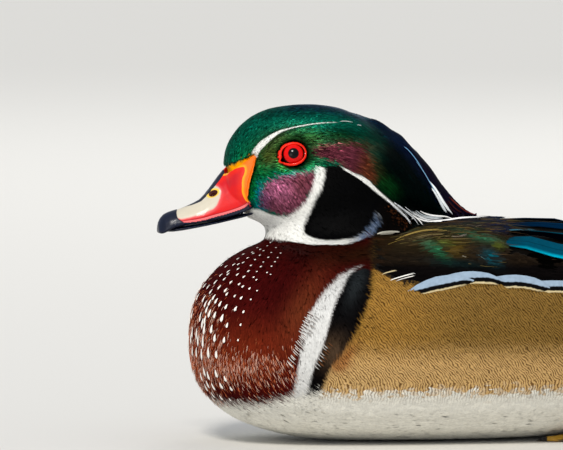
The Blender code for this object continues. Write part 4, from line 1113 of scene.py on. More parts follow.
breastSpots = (
    # pixel and length in pixels
    (259.5, 241.4, 1.2), (262.5, 243.4, 1.4), (270.3, 242.5, 1), (254.1, 244.4, 2.3),
    (267.4, 245.7, 1.9), (276.1, 247.4, 1.9), (257.5, 247.5, 2.1), (248.9, 249.3, 2.6),
    (252.1, 252, 2.4), (263.6, 250.5, 2.1), (271.4, 252.3, 1.6), (280.7, 252.9, 1.7), (243.3, 254, 3.1),
    (259.8, 255.1, 2.3), (268.3, 257.1, 2.1), (277.8, 257.4, 1.9), (237.8, 258.5, 3.3),
    (247.7, 257.7, 3.1), (255.1, 259.4, 2.3), (263.4, 261.8, 1.9), (275.1, 261.5, 1.6),
    (231.3, 260.5, 3.5), (243.2, 262.3, 3.3), (271.6, 266, 1.9), (233.6, 264.4, 3.8), (251, 265.2, 2.6),
    (260.9, 266.4, 2.6), (225.9, 266.4, 3.8), (237.9, 268.7, 3.3), (267.1, 272.3, 1.9),
    (219.6, 271.1, 4), (228.1, 271.3, 4.3), (248.4, 270.9, 3.3), (256.9, 271.4, 1.7),
    (270.6, 274.2, 1.2), (220.6, 275, 4.3), (237.3, 274.4, 3.8), (243.8, 276.6, 3.5), (253.6, 277, 2.3),
    (256.4, 279.6, 2.3), (213.5, 278.5, 5.2), (224.2, 278.8, 4.2), (215.2, 282, 5.6), (230.8, 282, 4.2),
    (239.1, 283.9, 3.3), (242.7, 286.3, 3.3), (249.5, 288.3, 2.9), (257, 290.5, 1.7),
    (207.9, 286.7, 5.6), (219, 287.2, 5.6), (225.4, 290, 5.2), (234.6, 295.8, 3.1), (226.7, 293.9, 4.2),
    (241.1, 297.8, 3.8), (250.8, 299.3, 1.9), (202, 293.2, 6.1), (210.5, 291.5, 5.7),
    (203.3, 298.9, 7.8), (213.3, 297.3, 6.6), (215.9, 300.9, 6.4), (219.8, 303.9, 6.1),
    (225.8, 306.7, 5.4), (235.4, 308.7, 5.2), (243.4, 311.7, 3.1), (198.3, 301.5, 6.9),
    (205.1, 304.1, 7.3), (206.4, 309.5, 7.8), (209.2, 313.5, 8.7), (214.5, 315.1, 6.9),
    (221.7, 318, 7.8), (226.8, 325.3, 5.2), (240.5, 324.7, 2.6), (197.4, 311.5, 8.7),
    (199.9, 317.1, 9.5), (202, 323.6, 10.4), (192.4, 319.7, 8.7), (194.2, 326.2, 10.4),
    (203.9, 329.2, 11.3), (211.1, 329.2, 8.7), (190.1, 331.4, 10.4), (195.7, 334, 11.3),
    (214.4, 338.3, 7.8), (223.9, 340.1, 6.1), (237.9, 340.1, 2.3), (197.7, 340.9, 11.3),
    (202.6, 341.8, 13), (192.4, 346.1, 11.3), (196.1, 352.7, 10.4), (201.3, 354.8, 11.3),
    (208.1, 353.1, 11.3), (216.1, 354.8, 7.8), (190.9, 353.1, 7.8), (194, 373, 9), (201, 377, 9),
    (208, 376, 9), (216, 374, 8), (225, 379, 6), (199, 386, 8), (206, 388, 8), (213, 387, 8),
    (221, 386, 7), (231, 389, 5), (205, 397, 7), (213, 399, 6), (221, 398, 6), (230, 400, 4),
)
spotLook = {"width": ((1.2, 0.7), (4.0, 1.25), (8.0, 2.1), (13.0, 2.7)), "rise": (1.25, 1.4, 1.45, 1.45, 1.4),
            "colour": (244, 238, 230)}


def makeBreastSpots():
    table = np.array(breastSpots)
    lengths = np.maximum(table[:, 2], 1.6) * photo["pixelSize"]
    aimed = table[:, :2].copy()
    for _ in range(5):
        # Their height above the skin moves them in the picture, so they are aimed that much aside
        spots, normals = onSkin(fromPixelsNear(aimed))
        aimed -= np.clip(toPixels(spots + normals * spotLook["rise"][2]) - table[:, :2], -3, 3)
    mirrored = spots * (1, -1, 1)
    apart = np.linalg.norm(mirrored[:, None] - spots[None], axis=2).min(1)
    spots = np.vstack([spots, mirrored[apart > 2.4]])
    lengths = np.concatenate([lengths, lengths[apart > 2.4]])
    at, normals = onSkin(spots)
    start, _ = onSkin(at - lieAt(at, normals) * lengths[:, None] / 2)
    path = walkTufts(start, lengths, 4)
    width = np.interp(lengths / photo["pixelSize"], *zip(*spotLook["width"]))
    colours = np.tile(tone(*spotLook["colour"]), (len(start), 1))
    mesh = tuftMesh("breast_spots", path, width, spotLook["rise"], width * 0.1, colours, np.zeros(len(start)), 1.0, 1.0,
                    np.array((0.25, 0.6, 0.9, 1.0)))
    newObject("breast_spots", mesh, bodyCoatMaterial)


hairLook = {"count": 4200, "length": 2.6, "width": 0.17, "rise": (0.4, 1.1, 1.25)}


def makeBreastHairs():
    # Fine pale hairs between the lowest spots
    pixels = facePixels
    chance = glow(pixels, (250, 364), (44, 15), 0) + 0.4 * glow(pixels, (206, 345), (17, 42), 0)
    chance = chance * (pixels[:, 0] < 296) * ~faceOnHead * (pixels[:, 1] < 404)
    pick = np.random.default_rng(301)
    faces = pick.choice(len(faceCentres), hairLook["count"], p=chance / chance.sum())
    roots = skinPoints[skinFaces[faces]].mean(1) + pick.normal(0, 0.5, (len(faces), 3))
    path = walkTufts(roots, hairLook["length"] * jitter(len(roots), 0.3, 302), 2)
    width = hairLook["width"] * jitter(len(roots), 0.2, 303)
    tints = np.array([tone(*c) for c in ((206, 166, 148), (168, 92, 60), (132, 58, 36))])
    colours = tints[pick.choice(3, len(roots), p=(0.35, 0.35, 0.3))] * jitter(len(roots), 0.2, 304)[:, None]
    mesh = tuftMesh("breast_hairs", path, width, hairLook["rise"], width * 0.5, np.clip(colours, 0, 0.9),
                    np.zeros(len(roots)), 0.9, 1.0)
    newObject("breast_hairs", mesh, bodyCoatMaterial)


crestStrands = (
    # width in mm, colour, pixels along it
    (0.65, (232, 234, 236), ((387, 200), (396, 208.4), (404, 216), (411.5, 225.7), (413.8, 228.4))),
    (0.60, (226, 230, 234), ((394, 202.4), (405, 211), (414, 219), (420, 226))),
    (0.75, (238, 238, 236), ((400, 207.6), (410, 214), (418, 221), (424, 228.4))),
    (0.80, (240, 240, 238), ((418.5, 210), (426.7, 214), (434.8, 216.3), (445.4, 217.5), (454.7, 220.4))),
    (1.00, (242, 242, 240), ((408, 210.6), (416, 217), (424.3, 222), (436, 223), (446, 222), (454.7, 219.8),
                             (470, 218.8), (490, 218.4))),
    (0.60, (226, 228, 230), ((412, 211), (420, 217.4), (430, 221), (442, 221.4), (456, 219.4), (474, 218.4))),
    (0.55, (176, 182, 184), ((414, 210.6), (421, 216), (431, 219.4), (444, 220.6))),
    (0.55, (160, 168, 172), ((416, 210), (424, 215.4), (434, 218.2), (447, 219.6))),
    (0.50, (130, 140, 146), ((411, 210), (417, 215.4), (424, 219.4), (433, 221.6))),
    (0.45, (196, 200, 202), ((405, 207), (414, 214), (422, 220), (431, 222.8))),
    # These two pale blue strands are painted glints on the crest
    (0.28, (110, 160, 200), ((403, 146), (409, 152), (415.7, 160.5), (421, 168.5))),
    (0.36, (120, 166, 200), ((416, 161.5), (424.4, 174.5), (432, 187.5), (437, 195))),
    (1.30, (238, 242, 244), ((428, 180), (436, 191), (442.2, 201), (448, 210), (454.7, 218.7))),
    (0.90, (230, 236, 240), ((431, 187.4), (438.3, 199.4), (443, 208), (447.7, 216.3))),
    (0.45, (120, 52, 42), ((449, 197.4), (456, 204.4), (466, 212), (478.4, 217))),
    (0.40, (60, 30, 28), ((447.6, 201), (454, 208), (463, 214))),
    (0.40, (44, 24, 26), ((444, 200), (450, 208), (457, 215.6))),
    (0.30, (206, 214, 212), ((340, 121.8), (346, 122), (353, 123.4))),
    (0.26, (180, 190, 190), ((357, 125.4), (361, 126.8))),
    (1.10, (190, 186, 172), ((376.4, 233.9), (384, 232.6), (392, 232), (402, 232.8))),
    (0.80, (140, 136, 124), ((379, 234.8), (388, 234.8), (397, 233.8))),
    (0.50, (236, 234, 228), ((389, 281.2), (404, 277), (418.5, 273.3))),
    (0.45, (232, 228, 220), ((396, 281.6), (407, 278.6), (417, 276.4))),
    (0.40, (206, 190, 150), ((381, 275), (390, 272.6), (398, 271))),
    (0.55, (150, 128, 70), ((388, 243.4), (398, 239.6), (410, 235), (424, 231.6), (440, 231), (455, 232.4))),
    (0.45, (104, 92, 60), ((395, 244), (412, 239.4), (430, 236), (452, 235.6), (470, 236.4))),
    (0.45, (124, 104, 52), ((384, 247), (396, 242.6), (408, 239))),
    (0.45, (84, 72, 58), ((441, 227), (452, 223.6), (470, 221.4), (490, 219.6))),
    (0.40, (90, 82, 70), ((462, 231), (480, 226.6), (496, 223.4), (512, 222.6))),
    (0.35, (60, 112, 132), ((500, 231.8), (518, 230.6), (540, 230.8))),
    (0.60, (110, 104, 96), ((447, 237), (458, 237.4), (470, 234.5))),
    (0.30, (124, 118, 104), ((461, 256), (467, 258.2))),
    (0.30, (76, 104, 104), ((477, 255.4), (481, 258), (485, 260.8))),
)
strandLook = {"stations": 12, "rise": 0.5, "clear": 0.9, "fibres": 3, "fibreSpread": 0.25}


def overSkin(pixels, clear):
    # A line that keeps its pixels and goes smoothly over the hollows, clear millimetres above the skin
    eye = pixelRay((0, 0))[0]
    far = np.linalg.norm(fromPixelsNear(pixels) - eye, axis=1)
    far = np.minimum(far, np.minimum(np.append(far[1:], far[-1]), np.insert(far[:-1], 0, far[0])))
    for _ in range(8):
        far[1:-1] = far[1:-1] / 2 + (far[:-2] + far[2:]) / 4
    return np.array([eye + pixelRay(pixel)[1] * (reach - clear) for pixel, reach in zip(pixels, far)])


def makeCrestStrands():
    paths, widths, colours = [], [], []
    pick = np.random.default_rng(77)
    for width, colour, pixels in crestStrands:
        line = resampled(rounded(pixels), strandLook["stations"])
        for fibre in range(strandLook["fibres"]):
            drift = pick.normal(0, 1.0, 2) * width / photo["pixelSize"] * strandLook["fibreSpread"]
            start, end = pick.uniform(0, 0.12), pick.uniform(0.86, 1.0)
            part = resampled(line, 40)[int(start * 39):int(end * 39) + 1]
            fan = np.linspace(0.4, 1.4, strandLook["stations"])[:, None]
            paths.append(overSkin(resampled(part, strandLook["stations"]) + drift * fan, strandLook["clear"]))
            widths.append(width * 0.8)
            colours.append(tone(*colour) * pick.uniform(0.85, 1.05))
    paths = bothSides(np.array(paths))
    widths, colours = np.tile(widths, 2), np.clip(np.tile(colours, (2, 1)), 0, 0.92)
    shares = np.arange(strandLook["stations"] - 1) / (strandLook["stations"] - 1)
    rise = np.append(np.interp(shares, (0, 0.12, 1), (0.2, 1.0, 1.2)) * strandLook["rise"], strandLook["rise"])
    mesh = tuftMesh("crest_strands", alongSkin(paths), widths, rise, widths * 0.45, colours, np.zeros(len(paths)),
                    0.95, 1.0, np.interp(shares, (0, 0.15, 0.7, 1), (0.4, 1.0, 0.9, 0.35)))
    newObject("crest_strands", mesh, headCoatMaterial)


barTeeth = (
    # first and last pixel, how many, stroke in pixels, scatter, colour
    ((311, 314), (302, 333), 9, (-5, -3.6), 0.3, (206, 200, 196)),
    ((312, 315), (304, 334), 8, (-4, -3.0), 0.4, (84, 52, 42)),
    ((304, 336), (291, 365), 14, (-6, -5.5), 0.4, (208, 200, 194)),
    ((304, 338), (293, 366), 14, (-6, -5.2), 0.5, (70, 40, 34)),
    ((317, 318), (309, 336), 8, (-4, -3.0), 0.5, (150, 144, 140)),
    ((341, 291), (332, 316), 8, (-2.8, 1.2), 0.4, (170, 170, 168)),
    ((326, 346), (317, 366), 7, (-4.5, -4), 0.5, (180, 178, 174)),
    ((330, 344), (321, 366), 8, (-5, -4), 0.6, (100, 66, 44)),
    ((386, 207), (408, 229), 30, (1.7, 1.4), 1.8, (96, 56, 32)),
    ((390, 214), (402, 230), 24, (1.7, 0.9), 2.6, (70, 42, 26)),
    ((384, 204), (410, 230), 26, (1.5, 1.3), 2.8, (56, 34, 22)),
)


def makeBarTeeth():
    # Barbs of the shoulder bars that cross from one colour into the next
    paths, widths, colours = [], [], []
    pick = np.random.default_rng(31)
    for start, end, count, stroke, scatter, colour in barTeeth:
        for i in range(count):
            share = (i + pick.uniform(-0.25, 0.25)) / (count - 1)
            place = np.array(start) + (np.array(end) - start) * share + pick.normal(0, scatter, 2)
            reach = np.array(stroke) * pick.uniform(0.7, 1.15)
            paths.append(fromPixelsNear([place - reach * s for s in (-0.6, -0.2, 0.2, 0.6)]))
            widths.append(min(0.34, 0.1 * math.hypot(*stroke)))
            colours.append(tone(*colour))
    paths = bothSides(np.array(paths))
    widths, colours = np.tile(widths, 2), np.tile(colours, (2, 1))
    mesh = tuftMesh("bar_teeth", alongSkin(paths), widths, (1.0, 1.5, 1.5, 1.3), widths * 0.4, colours,
                    np.zeros(len(paths)), 0.9, 1.0)
    newObject("bar_teeth", mesh, bodyCoatMaterial)


print("laying spots and strands")
makeBarTeeth()
makeBreastSpots()
makeBreastHairs()
makeCrestStrands()


# Large feathers

vaneShape = ((0.0, 0.45), (0.12, 0.75), (0.35, 0.96), (0.6, 1.0), (0.8, 0.93), (0.9, 0.78), (0.96, 0.55), (1.0, 0.12))
vaneStations = np.array((0.0, 0.14, 0.3, 0.46, 0.6, 0.72, 0.82, 0.89, 0.945, 0.98, 1.0))
vaneAcross = np.array((-1.0, -0.55, 0.0, 0.55, 1.0))


def vaneFaces():
    rows, lanes = len(vaneStations), len(vaneAcross)
    under = rows * lanes
    faces = []
    for i in range(rows - 1):
        for j in range(lanes - 1):
            a, b, c, d = i * lanes + j, (i + 1) * lanes + j, (i + 1) * lanes + j + 1, i * lanes + j + 1
            faces += [(a, b, c), (a, c, d), (under + a, under + c, under + b), (under + a, under + d, under + c)]
        for j, flip in ((0, False), (lanes - 1, True)):
            a, b = i * lanes + j, (i + 1) * lanes + j
            side = [(a, under + a, under + b), (a, under + b, b)]
            faces += [f[::-1] for f in side] if flip else side
    for i, flip in ((0, True), (rows - 1, False)):
        for j in range(lanes - 1):
            a, b = i * lanes + j, i * lanes + j + 1
            side = [(a, under + a, under + b), (a, under + b, b)]
            faces += [f[::-1] for f in side] if flip else side
    return np.array(faces)


vaneTemplate = vaneFaces()


def vaneSet(name, vanes, material):
    points, faces, tints, glosses, edges, maps, cells = [], [], [], [], [], [], []
    columns = int(math.ceil(math.sqrt(len(vanes))))
    for index, vane in enumerate(vanes):
        if "grid" in vane:
            top = vane["grid"]
            middle = top[:, len(vaneAcross) // 2]
            run = np.concatenate([[0.0], np.cumsum(np.linalg.norm(np.diff(middle, axis=0), axis=1))])
            out = unit(np.cross(top[:, -1] - top[:, 0], np.gradient(middle, axis=0)))
            both = np.concatenate([top.reshape(-1, 3), (top + out[:, None] * 0.25).reshape(-1, 3)])
            faces.append(vaneTemplate[:, ::-1] + len(points) * len(both))
            points.append(both)
            colour, gloss = vane["paint"](top.reshape(-1, 3), None, None)
            edges.append(np.tile(vane["edge"].ravel(), 2))
            tints.append(np.tile(colour, (2, 1)))
            glosses.append(np.tile(gloss, 2))
            across, along = np.tile(vaneAcross, len(run)), np.repeat(run, len(vaneAcross))
            maps.append(np.tile(np.stack([across * vane["width"] / 2, along, 0 * along], 1), (2, 1)))
            cell = np.array((index % columns, index // columns)) / columns
            inCell = np.stack([0.5 + 0.45 * across, 0.05 + 0.9 * along / run[-1]], 1)
            cells.append(np.tile(cell + inCell / columns, (2, 1)))
            continue
        spots = resampled(vane["spots"], 41)
        normals = resampled(vane["normals"], 41)
        pick = vaneStations * 40
        low = np.floor(pick).astype(int)
        high = np.minimum(low + 1, 40)
        part = (pick - low)[:, None]
        ways = unit(np.gradient(spots, axis=0))
        spots = spots[low] * (1 - part) + spots[high] * part
        normals = unit(normals[low] * (1 - part) + normals[high] * part)
        ways = unit(ways[low] * (1 - part) + ways[high] * part)
        sides = unit(np.cross(normals, ways))
        half = vane["width"] / 2 * np.interp(vaneStations, *zip(*vane.get("shape", vaneShape)))
        lift = np.interp(vaneStations, (0.0, 0.3, 1.0), vane["lift"])
        offset = half[:, None] * vaneAcross
        height = lift[:, None] - offset**2 / (2 * vane.get("radius", 55.0)) + 0.12 * (vaneAcross == 0)
        top = spots[:, None] + sides[:, None] * offset[..., None] + normals[:, None] * height[..., None]
        if "clear" in vane:
            # No part that shows goes under the skin, and each layer keeps its own lift over it
            nearest, out = onSkin(top.reshape(-1, 3))
            wanted = np.repeat(lift, len(vaneAcross))
            short = np.where(wanted > 0, wanted - ((top.reshape(-1, 3) - nearest) * out).sum(1), 0)
            top = top + (out * np.clip(short, 0, 3)[:, None]).reshape(top.shape)
        bottom = top - normals[:, None] * vane.get("thickness", 0.25)
        both = np.concatenate([top.reshape(-1, 3), bottom.reshape(-1, 3)])
        faces.append(vaneTemplate[:, ::-1] + len(points) * len(both))
        points.append(both)
        length = np.linalg.norm(np.diff(vane["spots"], axis=0), axis=1).sum()
        along = np.repeat(vaneStations * length, len(vaneAcross))
        across = offset.ravel()
        upward = across * (1 if spots[0][1] < 0 else -1)
        widest = np.repeat(half, len(vaneAcross))
        tip = length * 1.0 - along
        toSide = widest - upward
        taper = np.interp(along / length, (0.0, 0.15, 0.4, 1.0), (0.15, 0.45, 1.0, 1.0))
        margin = {"upper": toSide / taper, "tip": tip, "outer": widest + upward}[vane["margin"]]
        edges.append(np.tile(margin, 2))
        colour, gloss = vane["paint"](top.reshape(-1, 3), along / length, across / vane["width"])
        tints.append(np.tile(colour, (2, 1)))
        glosses.append(np.tile(gloss, 2))
        maps.append(np.tile(np.stack([across, along, 0 * along], 1), (2, 1)))
        cell = np.array((index % columns, index // columns)) / columns
        inCell = np.stack([0.5 + 0.45 * across / (vane["width"] / 2 + 0.01), 0.05 + 0.9 * along / length], 1)
        cells.append(np.tile(cell + inCell / columns, (2, 1)))
    mesh = meshFromTriangles(name, np.concatenate(points), np.concatenate(faces))
    mesh.set_sharp_from_angle(angle=math.radians(60))
    paintPoints(mesh, "tint", np.clip(np.concatenate(tints), 0, 0.92))
    valuePoints(mesh, "gloss", np.concatenate(glosses))
    valuePoints(mesh, "edge", np.concatenate(edges))
    layer = mesh.attributes.new(name="vane", type="FLOAT_VECTOR", domain="POINT")
    layer.data.foreach_set("vector", np.concatenate(maps).astype(np.float32).ravel())
    valuePoints(mesh, "wave", flankWave(np.concatenate(points)))
    cornerMap(mesh, "OFBake", np.concatenate(cells)[np.concatenate(faces).ravel()])
    print(name, len(vanes), "feathers")
    return newObject(name, mesh, material)


def mirroredVane(vane):
    other = dict(vane)
    if "grid" in vane:
        other["grid"] = vane["grid"][:, ::-1] * (1, -1, 1)
        other["edge"] = vane["edge"][:, ::-1]
        return other
    other["spots"] = vane["spots"] * (1, -1, 1)
    other["normals"] = vane["normals"] * (1, -1, 1)
    return other


def pixelVane(pixels, **look):
    spots = fromPixelsNear(resampled(rounded(pixels), 16))
    for _ in range(8):
        spots[1:-1] = spots[1:-1] / 2 + (spots[:-2] + spots[2:]) / 4
    spots, normals = onSkin(spots)
    return {"spots": spots, "normals": normals, "margin": "upper", **look}


def wingPoint(x, angle):
    top, half, middle = (np.interp(x, [r[0] for r in wingRows], [r[k] for r in wingRows]) for k in (1, 2, 3))
    turn = math.radians(angle)
    power = 2 / 2.2
    spread = math.copysign(abs(math.cos(turn)) ** power, math.cos(turn))
    return np.array((x, -half * spread, middle + (top - middle) * abs(math.sin(turn)) ** power))


def wingVane(root, tip, **look):
    # A feather of the left wing; root and tip are x and degrees round from the side
    spots, normals = [], []
    for share in np.linspace(0, 1, 16):
        x, angle = (root[k] + (tip[k] - root[k]) * share for k in (0, 1))
        spot = wingPoint(x, angle)
        round_ = wingPoint(x, angle + 1.0) - wingPoint(x, angle - 1.0)
        back = wingPoint(x + 1.0, angle) - wingPoint(x - 1.0, angle)
        normal = unit(np.cross(round_, back))
        normal *= np.sign(normal @ (spot - (x, 0, 50)))
        spots.append(spot)
        normals.append(normal)
    return {"spots": np.array(spots), "normals": np.array(normals), "margin": "outer", "clear": True, **look}


# The row's white band is painted a darker bluish grey: painted shade on white feathers
flankRowLook = {"roughness": 0.6, "barb": 0.8, "contrast": 0.05, "metal": 0.0, "waves": True, "lift": 0.6,
                "bands": ((2.5, (196, 180, 140)), (1.8, (10, 9, 11)), (0.0, (142, 161, 180)))}
# Each feather of the row: pixel along it, and the upper and lower edge of its white
flankRow = (
    ((408, 291, 292), (414, 286.5, 290.8), (421, 282.4, 289.3), (432.5, 277.6, 286.3), (441, 275.6, 284.4),
     (450, 275, 282.8), (458, 275.4, 281), (466, 277, 279.8), (474, 280.4, 281.4)),
    ((446, 275.4, 276), (456, 272.8, 278.6), (464, 271.5, 278.4), (473.4, 271.2, 277.6), (485, 272.3, 277.2),
     (492, 274.4, 278), (498, 277.4, 279.6), (503, 280.8, 281.6)),
    ((486, 279.4, 280), (494, 277, 281.6), (502.5, 275.4, 282.2), (514, 274.6, 281.6), (524, 275.4, 282.2),
     (532, 276.8, 283.6), (540, 279.8, 285.6), (546, 284.4, 287), (550, 287.8, 288.4)),
    ((531, 282.6, 283.2), (540, 280.8, 285.6), (547, 280.4, 286.4), (563, 280.6, 286.4), (575, 281.6, 287),
     (586, 284, 288.4), (594, 288, 290)),
)
# Those past the photo's edge: pixels from its start, and pixels under the row's line
flankStep = {"from": 580.0, "gap": 41.0, "count": 6,
             "edges": ((-6, -3, -2.4), (3, -6.6, -1), (14, -8, 0), (26, -7.6, 0.4), (38, -5.6, 0.6), (47, -2, 1), (54, 2.4, 3))}


def rowFeather(table, lift):
    # A feather laid by pixels: its upper edge lies over the wing, and its lower part goes under the coat
    table = np.array(table, float)
    upper = resampled(rounded(table[:, :2]), 41)[np.round(vaneStations * 40).astype(int)]
    white = np.interp(upper[:, 0], table[:, 0], table[:, 2])
    lower = white + 10.0 * np.sin(np.pi * np.clip(vaneStations * 0.9 + 0.08, 0, 1)) ** 0.6
    share = (1 - vaneAcross[None, :, None]) / 2
    pixels = upper[:, None] + (np.stack([upper[:, 0] - 2, lower], 1) - upper)[:, None] * share
    eye = pixelRay((0, 0))[0]
    far = np.linalg.norm(fromPixelsNear(pixels.reshape(-1, 2)) - eye, axis=1).reshape(pixels.shape[:2])
    for _ in range(4):
        far[1:-1] = far[1:-1] / 2 + (far[:-2] + far[2:]) / 4
        far[:, 1:-1] = far[:, 1:-1] / 2 + (far[:, :-2] + far[:, 2:]) / 4
    out = np.interp(vaneStations, (0, 0.25, 1), (-0.2, 1.1, 1.6))[:, None] + np.interp(vaneAcross, (-1, -0.4, 1), (-1.5, 0, 0.6))
    rays = np.array([pixelRay(pixel)[1] for pixel in pixels.reshape(-1, 2)]).reshape(*pixels.shape[:2], 3)
    edge = (pixels[..., 1] - np.interp(pixels[..., 0], table[:, 0], table[:, 2])) * photo["pixelSize"]
    return {"grid": eye + rays * (far - out - lift)[..., None], "edge": edge, "width": 9.0, "margin": "row"}


def makeFlankRow():
    def buffPaint(points, along, across):
        return paintBody(toPixels(points) + (0, 12), points)[0], np.zeros(len(points))

    tables = list(flankRow)
    for i in range(flankStep["count"]):
        start = flankStep["from"] + flankStep["gap"] * i
        tables.append([(start + a, *(np.interp(start + a, *zip(*rowLine)) + (b, c))) for a, b, c in flankStep["edges"]])
    vanes = []
    for index, table in enumerate(tables):
        vane = rowFeather(table, flankRowLook["lift"] + 0.5 * (index % 2 == 1) + 0.8 * (index >= len(flankRow)))
        vane["paint"] = buffPaint
        vanes += [vane, mirroredVane(vane)]
    vaneSet("flank_row", vanes, vaneMaterial("flankRowFeather", flankRowLook))


darkVaneLook = {"roughness": 0.8, "barb": 0.7, "contrast": 0.16, "metal": 0.3, "specular": 0.0}
whiteTipLook = {"roughness": 0.45, "barb": 0.7, "contrast": 0.10, "metal": 0.4,
                "bands": ((3.6, (12, 12, 14)), (2.0, (232, 232, 228)))}
primaryLook = {"roughness": 0.5, "barb": 0.8, "contrast": 0.12, "metal": 0.3, "bands": ((0.7, (76, 80, 88)),)}

wingGlints = (
    # pixel, reach, turn, colour, gloss, amount
    ((419, 239), (12, 6), 10, (70, 60, 40), 0.05, 0.8),
    ((455, 264), (26, 4), -5, (8, 32, 34), 0.1, 0.7),
    ((431, 247.6), (8, 3.2), -25, (62, 100, 74), 0.3, 0.75),
    ((439, 253), (10, 4.4), -40, (32, 84, 56), 0.4, 0.85),
    ((448, 244), (9, 3.6), -5, (80, 90, 40), 0.3, 0.8),
    ((458, 250), (8, 7), -20, (80, 64, 24), 0.2, 0.8),
    ((472, 250), (8, 5), -20, (42, 34, 24), 0.0, 0.8),
    ((480, 239), (20, 3.6), -14, (42, 84, 60), 0.35, 0.85),
    ((499, 247), (5, 4), 0, (72, 78, 30), 0.3, 0.7),
    ((492, 259), (9, 5), -35, (4, 70, 80), 0.35, 0.9),
)


def paintWing(points):
    pixels = toPixels(points)
    px, py = pixels[:, 0], pixels[:, 1]
    colours = np.tile(tone(30, 24, 18), (len(points), 1))
    gloss = np.full(len(points), 0.04)
    colours = blend(colours, tone(36, 30, 20), smoothStep(262 - py, 0, 16) * (1 - smoothStep(px, 480, 510)))
    colours = blend(colours, tone(12, 15, 23), smoothStep(231 - py, 0, 8))
    colours = blend(colours, tone(14, 12, 12), smoothStep(py, 262, 270))
    navy = smoothStep(px, 470, 505) * (1 - smoothStep(py, 230, 238))
    colours = blend(colours, tone(8, 22, 44), navy)
    for place, reach, turn, colour, shine, amount in wingGlints:
        share = glow(pixels, place, reach, turn) * amount
        colours = blend(colours, tone(*colour), share)
        gloss = gloss + (shine - gloss) * share
    return colours, gloss


mantleCoat = {"perFace": 1.15, "length": 13.0, "width": 2.3, "flat": 0.16, "segments": 3,
              "rise": (-0.5, 0.7, 1.0, 0.9), "shadeSpread": 0.25}


def makeMantle():
    # Narrow feathers from the shoulder over the front of the wing, some with pale olive or tan edges
    px, py = facePixels[:, 0], facePixels[:, 1]
    area = ~faceOnHead & (py < np.interp(px, *zip(*flankTop)) - 1) & (px > 368) & (faceCentres[:, 0] < 236)
    area &= (px < 560) | (py < np.interp(px, *zip(*rowLine)) - 16)
    area &= (px < 500) | (py > np.interp(px, (500, 563, 620, 727), (254, 262, 271, 277)))
    for word, half, seed in (("left", faceLeft, 90), ("right", ~faceLeft, 95)):
        roots = rootsOn(area & half, mantleCoat["perFace"], seed)
        count = len(roots)
        at = toPixels(roots)
        shorter = np.where(at[:, 1] < 256, np.interp(at[:, 0], (450, 500), (1.0, 0.3)), 1.0)
        path = walkTufts(roots, mantleCoat["length"] * jitter(count, 0.2, seed + 1) * shorter, mantleCoat["segments"])
        middle = path[-2][0]
        colours, gloss = paintWing(middle)
        pick = np.random.default_rng(seed + 2)
        pixels = toPixels(middle)
        # The mantle's front is darkened to the same blackish brown: painted shade under the nape
        napeShade = 1 - smoothStep(pixels[:, 0] + 0.6 * (pixels[:, 1] - 248), 366, 402)
        colours = blend(colours, tone(36, 20, 13), napeShade)
        pale = glow(pixels, (428, 236), (44, 7), 4) * 0.4
        picked = pick.random(count) < pale
        colours = np.where(picked[:, None], tone(70, 64, 38) * pick.uniform(0.5, 1.2, count)[:, None], colours)
        shade = np.exp(pick.normal(0, mantleCoat["shadeSpread"], count))
        width = mantleCoat["width"] * np.where(picked, 0.5, 1.0) * jitter(count, 0.15, seed + 3)
        mesh = tuftMesh("mantle_" + word, path, width, mantleCoat["rise"], width * mantleCoat["flat"],
                        np.clip(colours * shade[:, None], 0, 0.9), gloss, 0.7, 1.15)
        newObject("mantle_" + word, mesh, bodyCoatMaterial)
        print("mantle", word, count)


streakLook = {"count": 560, "length": 13.0, "width": 0.24, "rise": (0.3, 1.2, 1.35, 1.2)}


def makeStreaks():
    # Long thin barbs over the mantle, mostly olive, tan and bronze
    px, py = facePixels[:, 0], facePixels[:, 1]
    above = np.interp(px, *zip(*flankTop)) - py
    chance = (glow(facePixels, (430, 237), (48, 8), 4) + 0.5 * glow(facePixels, (490, 226), (50, 7), 0) + 0.02)
    chance = chance * (above > 6) * (px > 382) * (px < 500) * ~faceOnHead
    pick = np.random.default_rng(501)
    faces = pick.choice(len(faceCentres), streakLook["count"], p=chance / chance.sum())
    roots = skinPoints[skinFaces[faces]].mean(1) + pick.normal(0, 0.5, (len(faces), 3))
    path = walkTufts(roots, streakLook["length"] * jitter(len(roots), 0.3, 502), 3)
    tints = np.array([tone(*c) for c in ((84, 74, 44), (70, 54, 36), (40, 34, 26), (104, 92, 70), (34, 44, 34))])
    colours = tints[pick.choice(5, len(roots), p=(0.2, 0.25, 0.3, 0.05, 0.2))] * jitter(len(roots), 0.3, 503)[:, None]
    width = streakLook["width"] * jitter(len(roots), 0.25, 504)
    mesh = tuftMesh("mantle_streaks", path, width, streakLook["rise"], width * 0.4, np.clip(colours, 0, 0.9),
                    np.full(len(roots), 0.2), 0.9, 1.0)
    newObject("mantle_streaks", mesh, bodyCoatMaterial)


def ironPaint(base, shine, rim=None, rimSide=1):
    # A paint function for one feather: base colour, gloss, painted shade toward its root, and a rim along one side
    base = tone(*base)

    def paintVane(points, along, across):
        colours = np.tile(base, (len(points), 1))
        gloss = np.full(len(points), shine)
        # Darker toward the root: painted shade where the feathers above overlap it
        outOfRootShade = smoothStep(along, 0.0, 0.4)[:, None]
        colours = colours * (0.6 + 0.4 * outOfRootShade)
        if rim is not None:
            side = across * np.where(points[:, 1] < 0, 1, -1) * rimSide
            amount = smoothStep(side, 0.42, 0.485)
            colours = blend(colours, tone(*rim), amount)
        return colours, gloss
    return paintVane


